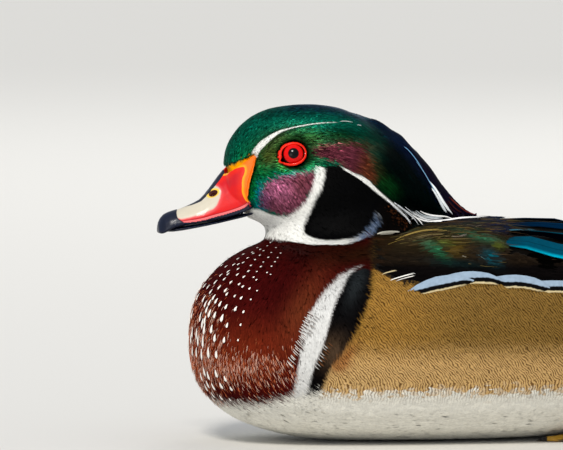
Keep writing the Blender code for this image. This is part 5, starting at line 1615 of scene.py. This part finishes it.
tertials = (
    # pixels along it, width, lift, colour, gloss, rim colour, side of the rim
    (((470, 252), (490, 255), (520, 259), (550, 263), (580, 266), (630, 268), (680, 271)), 10.0, 0.7, (9, 9, 8), 0.0,
     None, 1),
    (((500, 264), (530, 265.6), (565, 268.4), (610, 271), (660, 275), (710, 279)), 8.0, 0.6, (9, 8, 7), 0.0, None, 1),
    (((475, 237.8), (492, 238.6), (510, 241.2), (530, 245.6), (545, 249.2), (563, 254), (600, 262), (650, 270)), 10.8,
     1.4, (6, 70, 90), 0.4, (0, 170, 200), -1),
    (((488, 231), (505, 231.8), (535, 234.2), (563, 239.4), (610, 249), (670, 261)), 6.6, 1.5, (3, 6, 12), 0.0,
     (0, 84, 104), 1),
    (((470, 224), (500, 223.6), (540, 225.4), (580, 230.5), (640, 243), (700, 256)), 8.6, 1.1, (4, 36, 60), 0.05,
     (14, 50, 76), 1),
)


def makeWings():
    vanes, tips, quills = [], [], []
    for pixels, width, lift, colour, shine, rim, rimSide in tertials:
        vanes.append(pixelVane(pixels, width=width, lift=(-0.6, lift, lift),
                               paint=ironPaint(colour, shine, rim, rimSide)))
    # Coverts and scapulars over the back of the wing
    pick = np.random.default_rng(5)
    tints = ((8, 22, 38), (6, 30, 40), (10, 14, 20), (14, 14, 26), (8, 26, 30))
    for row in range(5, -1, -1):
        for lane in range(7):
            angle = 44.0 + 6.6 * lane + pick.uniform(-1.0, 1.0) + 3.3 * (row % 2)
            x = 170.0 + 11.0 * row + pick.uniform(-1.5, 1.5)
            tint = tints[int(pick.integers(len(tints)))]
            if row > 2 and lane < 3:
                continue  # The blue of the secondaries shows here
            vanes.append(wingVane((x, angle), (x + 40.0, angle + 1.5), width=9.5, lift=(-1.8, 0.4, 1.5 - 0.13 * row),
                                  paint=ironPaint(tint, 0.35, (20, 18, 18))))
    for i, (start, stop, tint) in enumerate((((176, 52), (268, 56), (8, 50, 72)), ((184, 63), (278, 68), (14, 14, 22)),
                                             ((190, 76), (286, 80), (16, 30, 70)))):
        vanes.append(wingVane(start, stop, width=13.0, lift=(-1.8, 0.8, 1.7 + 0.2 * i),
                              paint=ironPaint(tint, 0.4, (24, 22, 22))))
    # Secondaries: a blue band and white tips
    for i in range(7):
        tips.append(wingVane((176.0 + 3 * i, 35.0 + 3.2 * i), (250.0 + 2.0 * i, 37.0 + 3.8 * i), width=10.5,
                             lift=(-1.6, 0.1 + 0.08 * i, 0.5 + 0.1 * i), paint=ironPaint((8, 36, 88), 0.6), margin="tip"))
    # Primaries stacked over the rump
    for i in range(8):
        quills.append(wingVane((222.0 + 2 * i, 36.0 + 5.4 * i), (288.0 + 6.6 * i, 44.0 + 4.6 * i), width=11.0 - 0.3 * i,
                               lift=(-1.6, -0.4 + 0.12 * i, 0.3 + 0.25 * i), paint=ironPaint((26, 26, 30), 0.3)))
    for label, group, look in (("scapulars", vanes, darkVaneLook), ("secondaries", tips, whiteTipLook),
                               ("primaries", quills, primaryLook)):
        material = vaneMaterial(label + "Feather", look)
        vaneSet(label + "_left", group, material)
        vaneSet(label + "_right", [mirroredVane(v) for v in group], material)


tailLook = {"root": (332.0, 60.5), "tipHeight": 76.0, "pairs": 7, "spread": 7.5, "rootSpread": 11.0, "width": 13.5}


def tailVane(lean, length, level, width, **look):
    root, rise = tailLook["root"], (tailLook["tipHeight"] - tailLook["root"][1]) / (duck["length"] - tailLook["root"][0])
    turn = math.radians(lean)
    share = np.linspace(0, 1, 16)
    run = length * share
    raised = level * (0.35 + 0.65 * np.minimum(share * 2.2, 1.0))
    spots = np.stack([root[0] + run * math.cos(turn),
                      -tailLook["rootSpread"] * lean / tailLook["spread"] - run * math.sin(turn),
                      root[1] + rise * run + raised - 0.004 * (run * math.sin(turn)) ** 2], 1)
    normals = np.tile(unit(np.array((-rise, 0.0, 1.0))), (16, 1))
    return {"spots": spots, "normals": normals, "width": width, "margin": "tip", "radius": 90.0,
            "lift": (0.0, 0.0, 0.0), **look}


def makeTail():
    vanes = []
    dark = ironPaint((12, 26, 20), 0.6)
    for side in (1, -1):
        for pair in range(tailLook["pairs"]):
            share = (pair + 0.5) / tailLook["pairs"]
            length = duck["length"] - tailLook["root"][0] - 17.0 * share**1.5
            level = 3.4 - 1.05 * (pair + (0.5 if side < 0 else 0.0))
            vanes.append(tailVane(side * share * tailLook["spread"], length, level, tailLook["width"], paint=dark,
                                  thickness=0.4))
        for row in range(4):
            for lane in range(3):
                lean = side * (lane + 0.5 + 0.25 * (row % 2)) / 3 * tailLook["spread"]
                vanes.append(tailVane(lean, 62.0 - 13.0 * row, 6.4 - 1.4 * lane + 0.25 * row, 12.0, paint=dark))
                vanes.append(tailVane(lean, 64.0 - 12.0 * row, -7.6 + 0.9 * lane - 0.3 * row, 12.0,
                                      paint=ironPaint((18, 22, 20), 0.1)))
    vaneSet("tail_feathers", vanes, vaneMaterial("tailFeather", darkVaneLook))


plumeLook = {"count": 260, "length": 24.0, "width": 0.5, "rise": (-0.2, 1.2, 1.9, 2.4, 2.4)}


def makeRumpPlumes():
    # Long loose side plumes of the rump, dark with rusty streaks
    at = np.stack([faceCentres[:, 0], faceCentres[:, 2]], 1)
    chance = glow(at, (284, 62), (9, 6), 0) * (np.abs(faceCentres[:, 1]) > 16)
    pick = np.random.default_rng(611)
    faces = pick.choice(len(faceCentres), plumeLook["count"], p=chance / chance.sum())
    path = walkTufts(faceCentres[faces], plumeLook["length"] * jitter(len(faces), 0.2, 612), 4)
    tints = np.array([tone(*c) for c in ((116, 58, 24), (18, 14, 16), (44, 14, 30))])
    colours = tints[pick.choice(3, len(faces), p=(0.3, 0.4, 0.3))] * jitter(len(faces), 0.2, 613)[:, None]
    width = plumeLook["width"] * jitter(len(faces), 0.2, 614)
    mesh = tuftMesh("rump_plumes", path, width, plumeLook["rise"], width * 0.3, np.clip(colours, 0, 0.9),
                    np.full(len(faces), 0.2), 0.8, 1.0)
    newObject("rump_plumes", mesh, bodyCoatMaterial)


print("laying the wings and tail")
makeRumpPlumes()
makeFlankRow()
makeMantle()
makeStreaks()
makeWings()
makeTail()


# Bill, eyes and feet

billSize = {"voxel": 0.36, "rounds": 5, "nailLift": 0.16, "rimLift": 0.22, "groove": 0.12}
nailMark = rounded(((150, 200), (168, 202), (177, 207), (176.6, 213.3), (178, 218.2), (182.4, 221.7), (184.5, 224.5),
                    (184, 240), (150, 240)), True)
panelMark = rounded(((170, 203), (186, 201), (198, 193), (206, 187.6), (213, 185.4), (218, 187), (220.8, 191), (220.4, 196),
                     (217.3, 204.1), (213.6, 208.4), (208.1, 211.2), (201.1, 214.3), (194.1, 216.1), (187, 217.8),
                     (178, 218.6), (172, 214)), True)
bandMark = rounded(((210, 176), (214, 167), (222, 160), (230, 156), (238, 152), (246.7, 149),
                    (254, 148), (262, 152), (262, 160), (260, 170), (258, 180), (256, 190), (252, 198),
                    (247, 201.6), (244, 197.4), (242.2, 192.9), (241.8, 186.6), (242.2, 179.6), (243.2, 176),
                    (244.6, 172.6), (244.6, 169), (243.2, 166.9), (236.2, 168.4), (231.3, 170.5), (228.5, 173.3),
                    (226.4, 175.2), (221.6, 176.2), (216, 180)), True)
mouthLine = rounded(((176, 224.4), (182.9, 223.1), (201.1, 220.3), (215.2, 216.4), (229.2, 212.6), (239.7, 209),
                     (246, 205.9), (249.2, 203.4)))
nostrilMark = {"place": (213.2, 193.3), "reach": (4.9, 3.0), "turn": 25.8}
stripeWidth = ((9.0, 0.0), (11.5, 0.3), (14.0, 1.6), (18.0, 2.5), (22.0, 2.8), (26.0, 3.2), (29.8, 2.4), (30.6, 0.0))
baseEdge = ((152, 253), (154.3, 255.5), (158.5, 255.2), (163.4, 253.8), (169, 252), (176.1, 249.9), (183.1, 247.8),
            (190.1, 246.7), (195.7, 246), (199.9, 246.6), (203.4, 249.4), (208, 250.6))


def billMaterial():
    made, tree, shader = newMaterial("bill", 0.36, coat=0.12, specular=0.25)
    wobble = mathNode(tree, "MULTIPLY", mathNode(tree, "SUBTRACT", noiseNode(tree, 420.0, 3.0), 0.5), 0.8)
    small = mathNode(tree, "MULTIPLY", mathNode(tree, "SUBTRACT", noiseNode(tree, 1500.0, 2.0), 0.5), 0.35)
    shift = mathNode(tree, "ADD", wobble, small)

    def zone(name, soft=0.18, wander=1.0):
        edge = mathNode(tree, "ADD", attributeNode(tree, name, "Fac"), mathNode(tree, "MULTIPLY", shift, wander))
        return rangeNode(tree, edge, -soft, soft)

    colour = mixNode(tree, rangeNode(tree, noiseNode(tree, 160.0, 4.0), 0.35, 0.7), tone(212, 12, 15), tone(192, 24, 36))
    nearBand = rangeNode(tree, attributeNode(tree, "band", "Fac"), -3.2, 0.0)
    colour = mixNode(tree, mathNode(tree, "MULTIPLY", nearBand, 0.55), colour, tone(236, 46, 4))
    pink = rangeNode(tree, attributeNode(tree, "panel", "Fac"), -1.8, 0.3)
    colour = mixNode(tree, mathNode(tree, "MULTIPLY", pink, 0.6), colour, tone(226, 92, 96))
    cream = mixNode(tree, noiseNode(tree, 300.0, 3.0), tone(204, 197, 180), tone(192, 183, 162))
    colour = mixNode(tree, zone("panel", 0.5, 0.6), colour, cream)
    lip = attributeNode(tree, "lip", "Fac")
    inLip = rangeNode(tree, lip, 0.95, 1.2, 1.0, 0.0)
    colour = mixNode(tree, mathNode(tree, "MULTIPLY", inLip, 0.8), colour, tone(150, 10, 24))
    colour = mixNode(tree, rangeNode(tree, lip, 0.62, 0.8, 1.0, 0.0), colour, tone(226, 104, 106))
    gold = mixNode(tree, rangeNode(tree, attributeNode(tree, "band", "Fac"), 0.0, 1.6), tone(250, 166, 0), tone(242, 110, 0))
    colour = mixNode(tree, zone("band", 0.15, 0.5), colour, gold)
    ring = attributeNode(tree, "nostril", "Fac")
    rim = rangeNode(tree, ring, 1.3, 1.55, 1.0, 0.0)
    colour = mixNode(tree, mathNode(tree, "MULTIPLY", rim, 0.9), colour, tone(244, 196, 60))
    # The nostril's opening is painted dark red: painted shade inside the hole
    colour = mixNode(tree, rangeNode(tree, ring, 0.92, 1.06, 1.0, 0.0), colour, tone(58, 6, 4))
    dark = mixNode(tree, noiseNode(tree, 240.0, 3.0), tone(6, 10, 20), tone(16, 28, 54))
    colour = mixNode(tree, zone("stripe", 0.12, 0.25), colour, dark)
    colour = mixNode(tree, zone("nail", 0.12, 0.5), colour, dark)
    tree.links.new(colour, shader.inputs["Base Color"])
    addBump(tree, shader, mathNode(tree, "ADD", noiseNode(tree, 500.0, 4.0), noiseNode(tree, 1800.0, 2.0)), 0.12, 0.0003)
    return made


def makeBill():
    material = billMaterial()
    for name in ("bill_upper", "bill_lower"):
        upper = name == "bill_upper"
        mesh = remeshed(joined([mergedNode(name)], name), billSize["voxel"], billSize["rounds"])
        mesh.name = name + "_shape"
        points, normals = pointsOf(mesh), normalsOf(mesh)
        pixels = toPixels(points)
        size = photo["pixelSize"]
        nail = depthInside(pixels, nailMark) * size
        panel = depthInside(pixels, panelMark) * size
        band = depthInside(pixels, bandMark) * size
        stripe = np.interp(points[:, 0], *zip(*stripeWidth), left=0, right=0) - np.abs(points[:, 1])
        stripe = np.where((points[:, 2] > 98) & (normals[:, 2] > 0.1) & (points[:, 0] < 30), stripe, -2.0)
        lip = lineDistance(pixels, mouthLine) * size
        below = pixels[:, 1] > np.interp(pixels[:, 0], mouthLine[:, 0], mouthLine[:, 1]) + 0.4
        off = pixels - nostrilMark["place"]
        turn = math.radians(nostrilMark["turn"])
        a = (off[:, 0] * math.cos(turn) - off[:, 1] * math.sin(turn)) / nostrilMark["reach"][0]
        b = (off[:, 0] * math.sin(turn) + off[:, 1] * math.cos(turn)) / nostrilMark["reach"][1]
        ring = np.hypot(a, b)
        if upper:
            rise = billSize["nailLift"] * smoothStep(nail, -0.2, 0.3)
            rise = rise + billSize["rimLift"] * np.exp(-((ring - 1.3) / 0.22) ** 2)
            rise = rise - billSize["groove"] * np.exp(-((lip - 0.9) / 0.25) ** 2)
            # The rim of the base goes under the feathers behind the photographed edge
            behind = pixels[:, 0] - np.interp(pixels[:, 1], *zip(*baseEdge), left=400, right=400)
            rise = rise - 1.9 * smoothStep(behind, -0.3, 1.6)
            nail = np.where(below, 5.0, nail)
            points += normals * rise[:, None]
            mesh.vertices.foreach_set("co", toMetres(points).astype(np.float32).ravel())
        else:
            nail, lip = np.full(len(points), 5.0), np.full(len(points), 9.0)
        for key, value in (("nail", nail), ("panel", panel), ("band", band), ("stripe", stripe), ("lip", lip),
                           ("nostril", ring)):
            valuePoints(mesh, key, value)
        mesh.shade_smooth()
        newObject(name + "_shape", mesh, material, (name,))


eyeLook = {"pupil": 22.8, "iris": 47.0, "opening": (4.5, 3.65), "wrinkle": 0.06, "canthus": (-16.0, 15.0, 0.36),
           "lidWidth": ((0, 1.1), (35, 1.15), (90, 0.72), (180, 0.6), (270, 0.66), (325, 0.75), (345, 0.95), (360, 1.1))}


def eyeMaterial():
    made, tree, shader = newMaterial("eye", 0.3, coat=0.3, specular=0.05)
    shader.inputs["Coat Roughness"].default_value = 0.02
    gaze = attributeNode(tree, "gaze", "Fac")
    streak = noiseNode(tree, 900.0, 3.0)
    red = mixNode(tree, streak, tone(236, 12, 6), tone(186, 4, 6))
    edge = rangeNode(tree, gaze, 42.0, 48.0)
    colour = mixNode(tree, mathNode(tree, "MULTIPLY", edge, 0.5), red, tone(110, 4, 4))
    colour = mixNode(tree, rangeNode(tree, gaze, eyeLook["iris"] - 0.7, eyeLook["iris"] + 0.7), colour, tone(12, 3, 3))
    colour = mixNode(tree, rangeNode(tree, gaze, eyeLook["pupil"] - 1.0, eyeLook["pupil"] + 1.0, 1.0, 0.0), colour,
                     tone(3, 3, 5))
    tree.links.new(colour, shader.inputs["Base Color"])
    return made


def lidMaterial():
    made, tree, shader = newMaterial("lid", 0.45, coat=0.15, specular=0.15)
    colour = mixNode(tree, noiseNode(tree, 1300.0, 3.0), tone(226, 18, 8), tone(228, 50, 22))
    tree.links.new(colour, shader.inputs["Base Color"])
    addBump(tree, shader, noiseNode(tree, 2200.0, 3.0), 0.3, 0.0002)
    return made


def makeEyes():
    ball, rimPaint = eyeMaterial(), lidMaterial()
    for side, word in ((1, "left"), (-1, "right")):
        centre, look, ahead, up = eyeAxes(side)
        bm = bmesh.new()
        bmesh.ops.create_uvsphere(bm, u_segments=64, v_segments=48, radius=eyePlace["radius"])
        local = np.array([v.co[:] for v in bm.verts])
        gaze = np.degrees(np.arccos(np.clip(local[:, 2] / eyePlace["radius"], -1, 1)))
        bulge = 1 + 0.05 * np.clip(1 - (gaze / 50.0) ** 2, 0, 1)
        turn = np.array(Vector(look).to_track_quat("Z", "Y").to_matrix())
        world = toMetres((local * bulge[:, None]) @ turn.T + centre)
        for vert, spot in zip(bm.verts, world):
            vert.co = spot
        mesh = bpy.data.meshes.new("eye_ball_" + word)
        bm.to_mesh(mesh)
        bm.free()
        valuePoints(mesh, "gaze", gaze)
        mesh.shade_smooth()
        newObject("eye_ball_" + word, mesh, ball, ("eye_" + word,))
        bm = bmesh.new()
        rings = []
        for i in range(72):
            t = 2 * math.pi * i / 72
            c, s = math.cos(t), math.sin(t)
            place, spread, far = eyeLook["canthus"]
            turned = (math.degrees(t) - place + 180) % 360 - 180
            reach = 1 + far * math.exp(-((turned / spread) ** 2))
            thick = float(np.interp(math.degrees(t), *zip(*eyeLook["lidWidth"])))
            thick *= 1 + eyeLook["wrinkle"] * math.sin(17 * t) * math.sin(5 * t + 1)
            if reach > 1.1:
                thick = min(thick, 0.6)
            a, b = (eyeLook["opening"][0] * reach + thick) * c, (eyeLook["opening"][1] * reach + thick) * s
            r = math.hypot(a, b)
            out = math.sqrt(max(eyePlace["radius"] ** 2 - r * r, 3.0)) - 0.1
            share = math.hypot(a / eyePlace["opening"][0], b / eyePlace["opening"][1])
            out = max(out, float(np.interp(share, (0.9, 1.1, 1.3), (1.6, 2.5, 3.6))))
            spot = centre + ahead * a + up * b + look * out
            outward = unit(ahead * a + up * b)
            ring = []
            for j in range(12):
                q = 2 * math.pi * j / 12
                ring.append(bm.verts.new(toMetres([spot + outward * math.cos(q) * thick + look * math.sin(q) * 0.62])[0]))
            rings.append(ring)
        for i in range(72):
            a, b = rings[i], rings[(i + 1) % 72]
            for j in range(12):
                bm.faces.new((a[j], a[(j + 1) % 12], b[(j + 1) % 12], b[j]))
        bmesh.ops.recalc_face_normals(bm, faces=bm.faces)
        mesh = bpy.data.meshes.new("eye_lid_" + word)
        bm.to_mesh(mesh)
        bm.free()
        mesh.shade_smooth()
        newObject("eye_lid_" + word, mesh, rimPaint, ("lid_" + word,))


footLook = {"voxel": 0.55, "rounds": 4, "toes": ((-17.0, 40.0), (2.0, 46.0), (23.0, 41.0)), "heel": (206.0, 29.5)}


def footMaterial():
    made, tree, shader = newMaterial("foot", 0.5, specular=0.4)
    toe = rangeNode(tree, attributeNode(tree, "toe", "Fac"), 1.6, 3.0, 1.0, 0.0)
    web = mixNode(tree, noiseNode(tree, 300.0, 3.0), tone(52, 44, 34), tone(88, 74, 48))
    horn = mixNode(tree, noiseNode(tree, 220.0, 3.0), tone(196, 152, 48), tone(166, 120, 40))
    colour = mixNode(tree, toe, web, horn)
    claw = rangeNode(tree, attributeNode(tree, "claw", "Fac"), 0.3, 0.7)
    colour = mixNode(tree, claw, colour, tone(26, 22, 18))
    tree.links.new(colour, shader.inputs["Base Color"])
    cells = tree.nodes.new("ShaderNodeTexVoronoi")
    cells.inputs["Scale"].default_value = 900.0
    coords = tree.nodes.new("ShaderNodeTexCoord")
    tree.links.new(coords.outputs["Object"], cells.inputs["Vector"])
    addBump(tree, shader, cells.outputs["Distance"], 0.5, 0.0003)
    return made


def makeFeet():
    material = footMaterial()
    for word, side in (("left", 1), ("right", -1)):
        for name in ("foot_" + word, "leg_" + word):
            part = mergedNode(name)
            if name.startswith("leg"):
                cut = bmesh.ops.bisect_plane(part, geom=part.verts[:] + part.edges[:] + part.faces[:], dist=1e-7,
                                             plane_co=(0, 0, 0.0125), plane_no=(0, 0, 1), clear_outer=True)
                bmesh.ops.holes_fill(part, edges=[e for e in cut["geom_cut"] if isinstance(e, bmesh.types.BMEdge)])
            mesh = remeshed(joined([part], name), footLook["voxel"], footLook["rounds"])
            mesh.name = name + "_shape"
            points = pointsOf(mesh)
            nearest, beyond = np.full(len(points), 99.0), np.zeros(len(points))
            heel = np.array((footLook["heel"][0], -side * footLook["heel"][1]))
            for lean, length in footLook["toes"]:
                turn = math.radians(lean)
                tip = heel + np.array((-math.cos(turn), -side * math.sin(turn))) * length
                nearest = np.minimum(nearest, lineDistance(points[:, :2], np.array((heel, tip))))
                past = (points[:, :2] - heel) @ (tip - heel) / length - length
                close = np.linalg.norm(points[:, :2] - tip, axis=1) < 7
                beyond = np.maximum(beyond, np.where(close, smoothStep(past, -0.6, 0.4), 0.0))
            if name.startswith("leg"):
                nearest, beyond = nearest * 0, beyond * 0
            valuePoints(mesh, "toe", nearest)
            valuePoints(mesh, "claw", beyond)
            mesh.shade_smooth()
            newObject(name + "_shape", mesh, material, (name,))


print("making the bill, eyes and feet")
makeBill()
makeEyes()
makeFeet()


# Studio

studio = {
    "floor": 30.0, "floorColour": (214, 212, 207), "worldColour": (0.88, 0.93, 1.0), "worldStrength": 0.62,
    "sunFrom": (-1.0, -2.3, 2.2), "sunSpread": 14.0, "sunStrength": 2.5, "sunColour": (1.0, 0.955, 0.89),
    "rimPlace": (0.9, 2.2, 1.6), "rimSize": 1.4, "rimPower": 12.0,
    "fillPlace": (-1.5, -1.9, 0.25), "fillSize": 1.2, "fillPower": 7.0,
}


def areaLight(name, place, size, power, colour=(1, 1, 1)):
    light = bpy.data.lights.new(name, "AREA")
    light.shape = "DISK"
    light.size = size
    light.energy = power
    light.color = colour
    obj = bpy.data.objects.new(name, light)
    obj.location = place
    obj.rotation_euler = (Vector((0, 0, 0.07)) - Vector(place)).to_track_quat("-Z", "Y").to_euler()
    bpy.context.scene.collection.objects.link(obj)


def makeStudio():
    bm = bmesh.new()
    bmesh.ops.create_grid(bm, x_segments=1, y_segments=1, size=studio["floor"] / 2)
    mesh = bpy.data.meshes.new("floor")
    bm.to_mesh(mesh)
    bm.free()
    floor = bpy.data.objects.new("floor", mesh)
    bpy.context.scene.collection.objects.link(floor)
    made, tree, shader = newMaterial("floorPaint", 0.85)
    shader.inputs["Base Color"].default_value = (*tone(*studio["floorColour"]), 1)
    mesh.materials.append(made)
    world = bpy.data.worlds.new("studio")
    world.use_nodes = True
    world.node_tree.nodes["Background"].inputs[0].default_value = (*studio["worldColour"], 1)
    world.node_tree.nodes["Background"].inputs[1].default_value = studio["worldStrength"]
    bpy.context.scene.world = world
    sun = bpy.data.lights.new("sun", "SUN")
    sun.angle = math.radians(studio["sunSpread"])
    sun.energy = studio["sunStrength"]
    sun.color = studio["sunColour"]
    lamp = bpy.data.objects.new("sun", sun)
    lamp.rotation_euler = Vector(studio["sunFrom"]).to_track_quat("Z", "Y").to_euler()
    bpy.context.scene.collection.objects.link(lamp)
    areaLight("rimLight", studio["rimPlace"], studio["rimSize"], studio["rimPower"])
    areaLight("fillLight", studio["fillPlace"], studio["fillSize"], studio["fillPower"])
    bpy.context.scene.view_settings.view_transform = "Standard"


def makeCamera():
    camera = bpy.data.cameras.new("camera")
    camera.sensor_width = photo["sensor"]
    camera.lens = photo["sensor"] * photo["distance"] / (photo["width"] * photo["pixelSize"])
    camera.clip_end = 100.0
    obj = bpy.data.objects.new("camera", camera)
    obj.location = toMetres([aim + viewBack * photo["distance"]])[0]
    turn = Matrix((viewRight, viewUp, viewBack)).transposed()
    obj.rotation_euler = turn.to_euler()
    bpy.context.scene.collection.objects.link(obj)
    bpy.context.scene.camera = obj


makeStudio()
makeCamera()
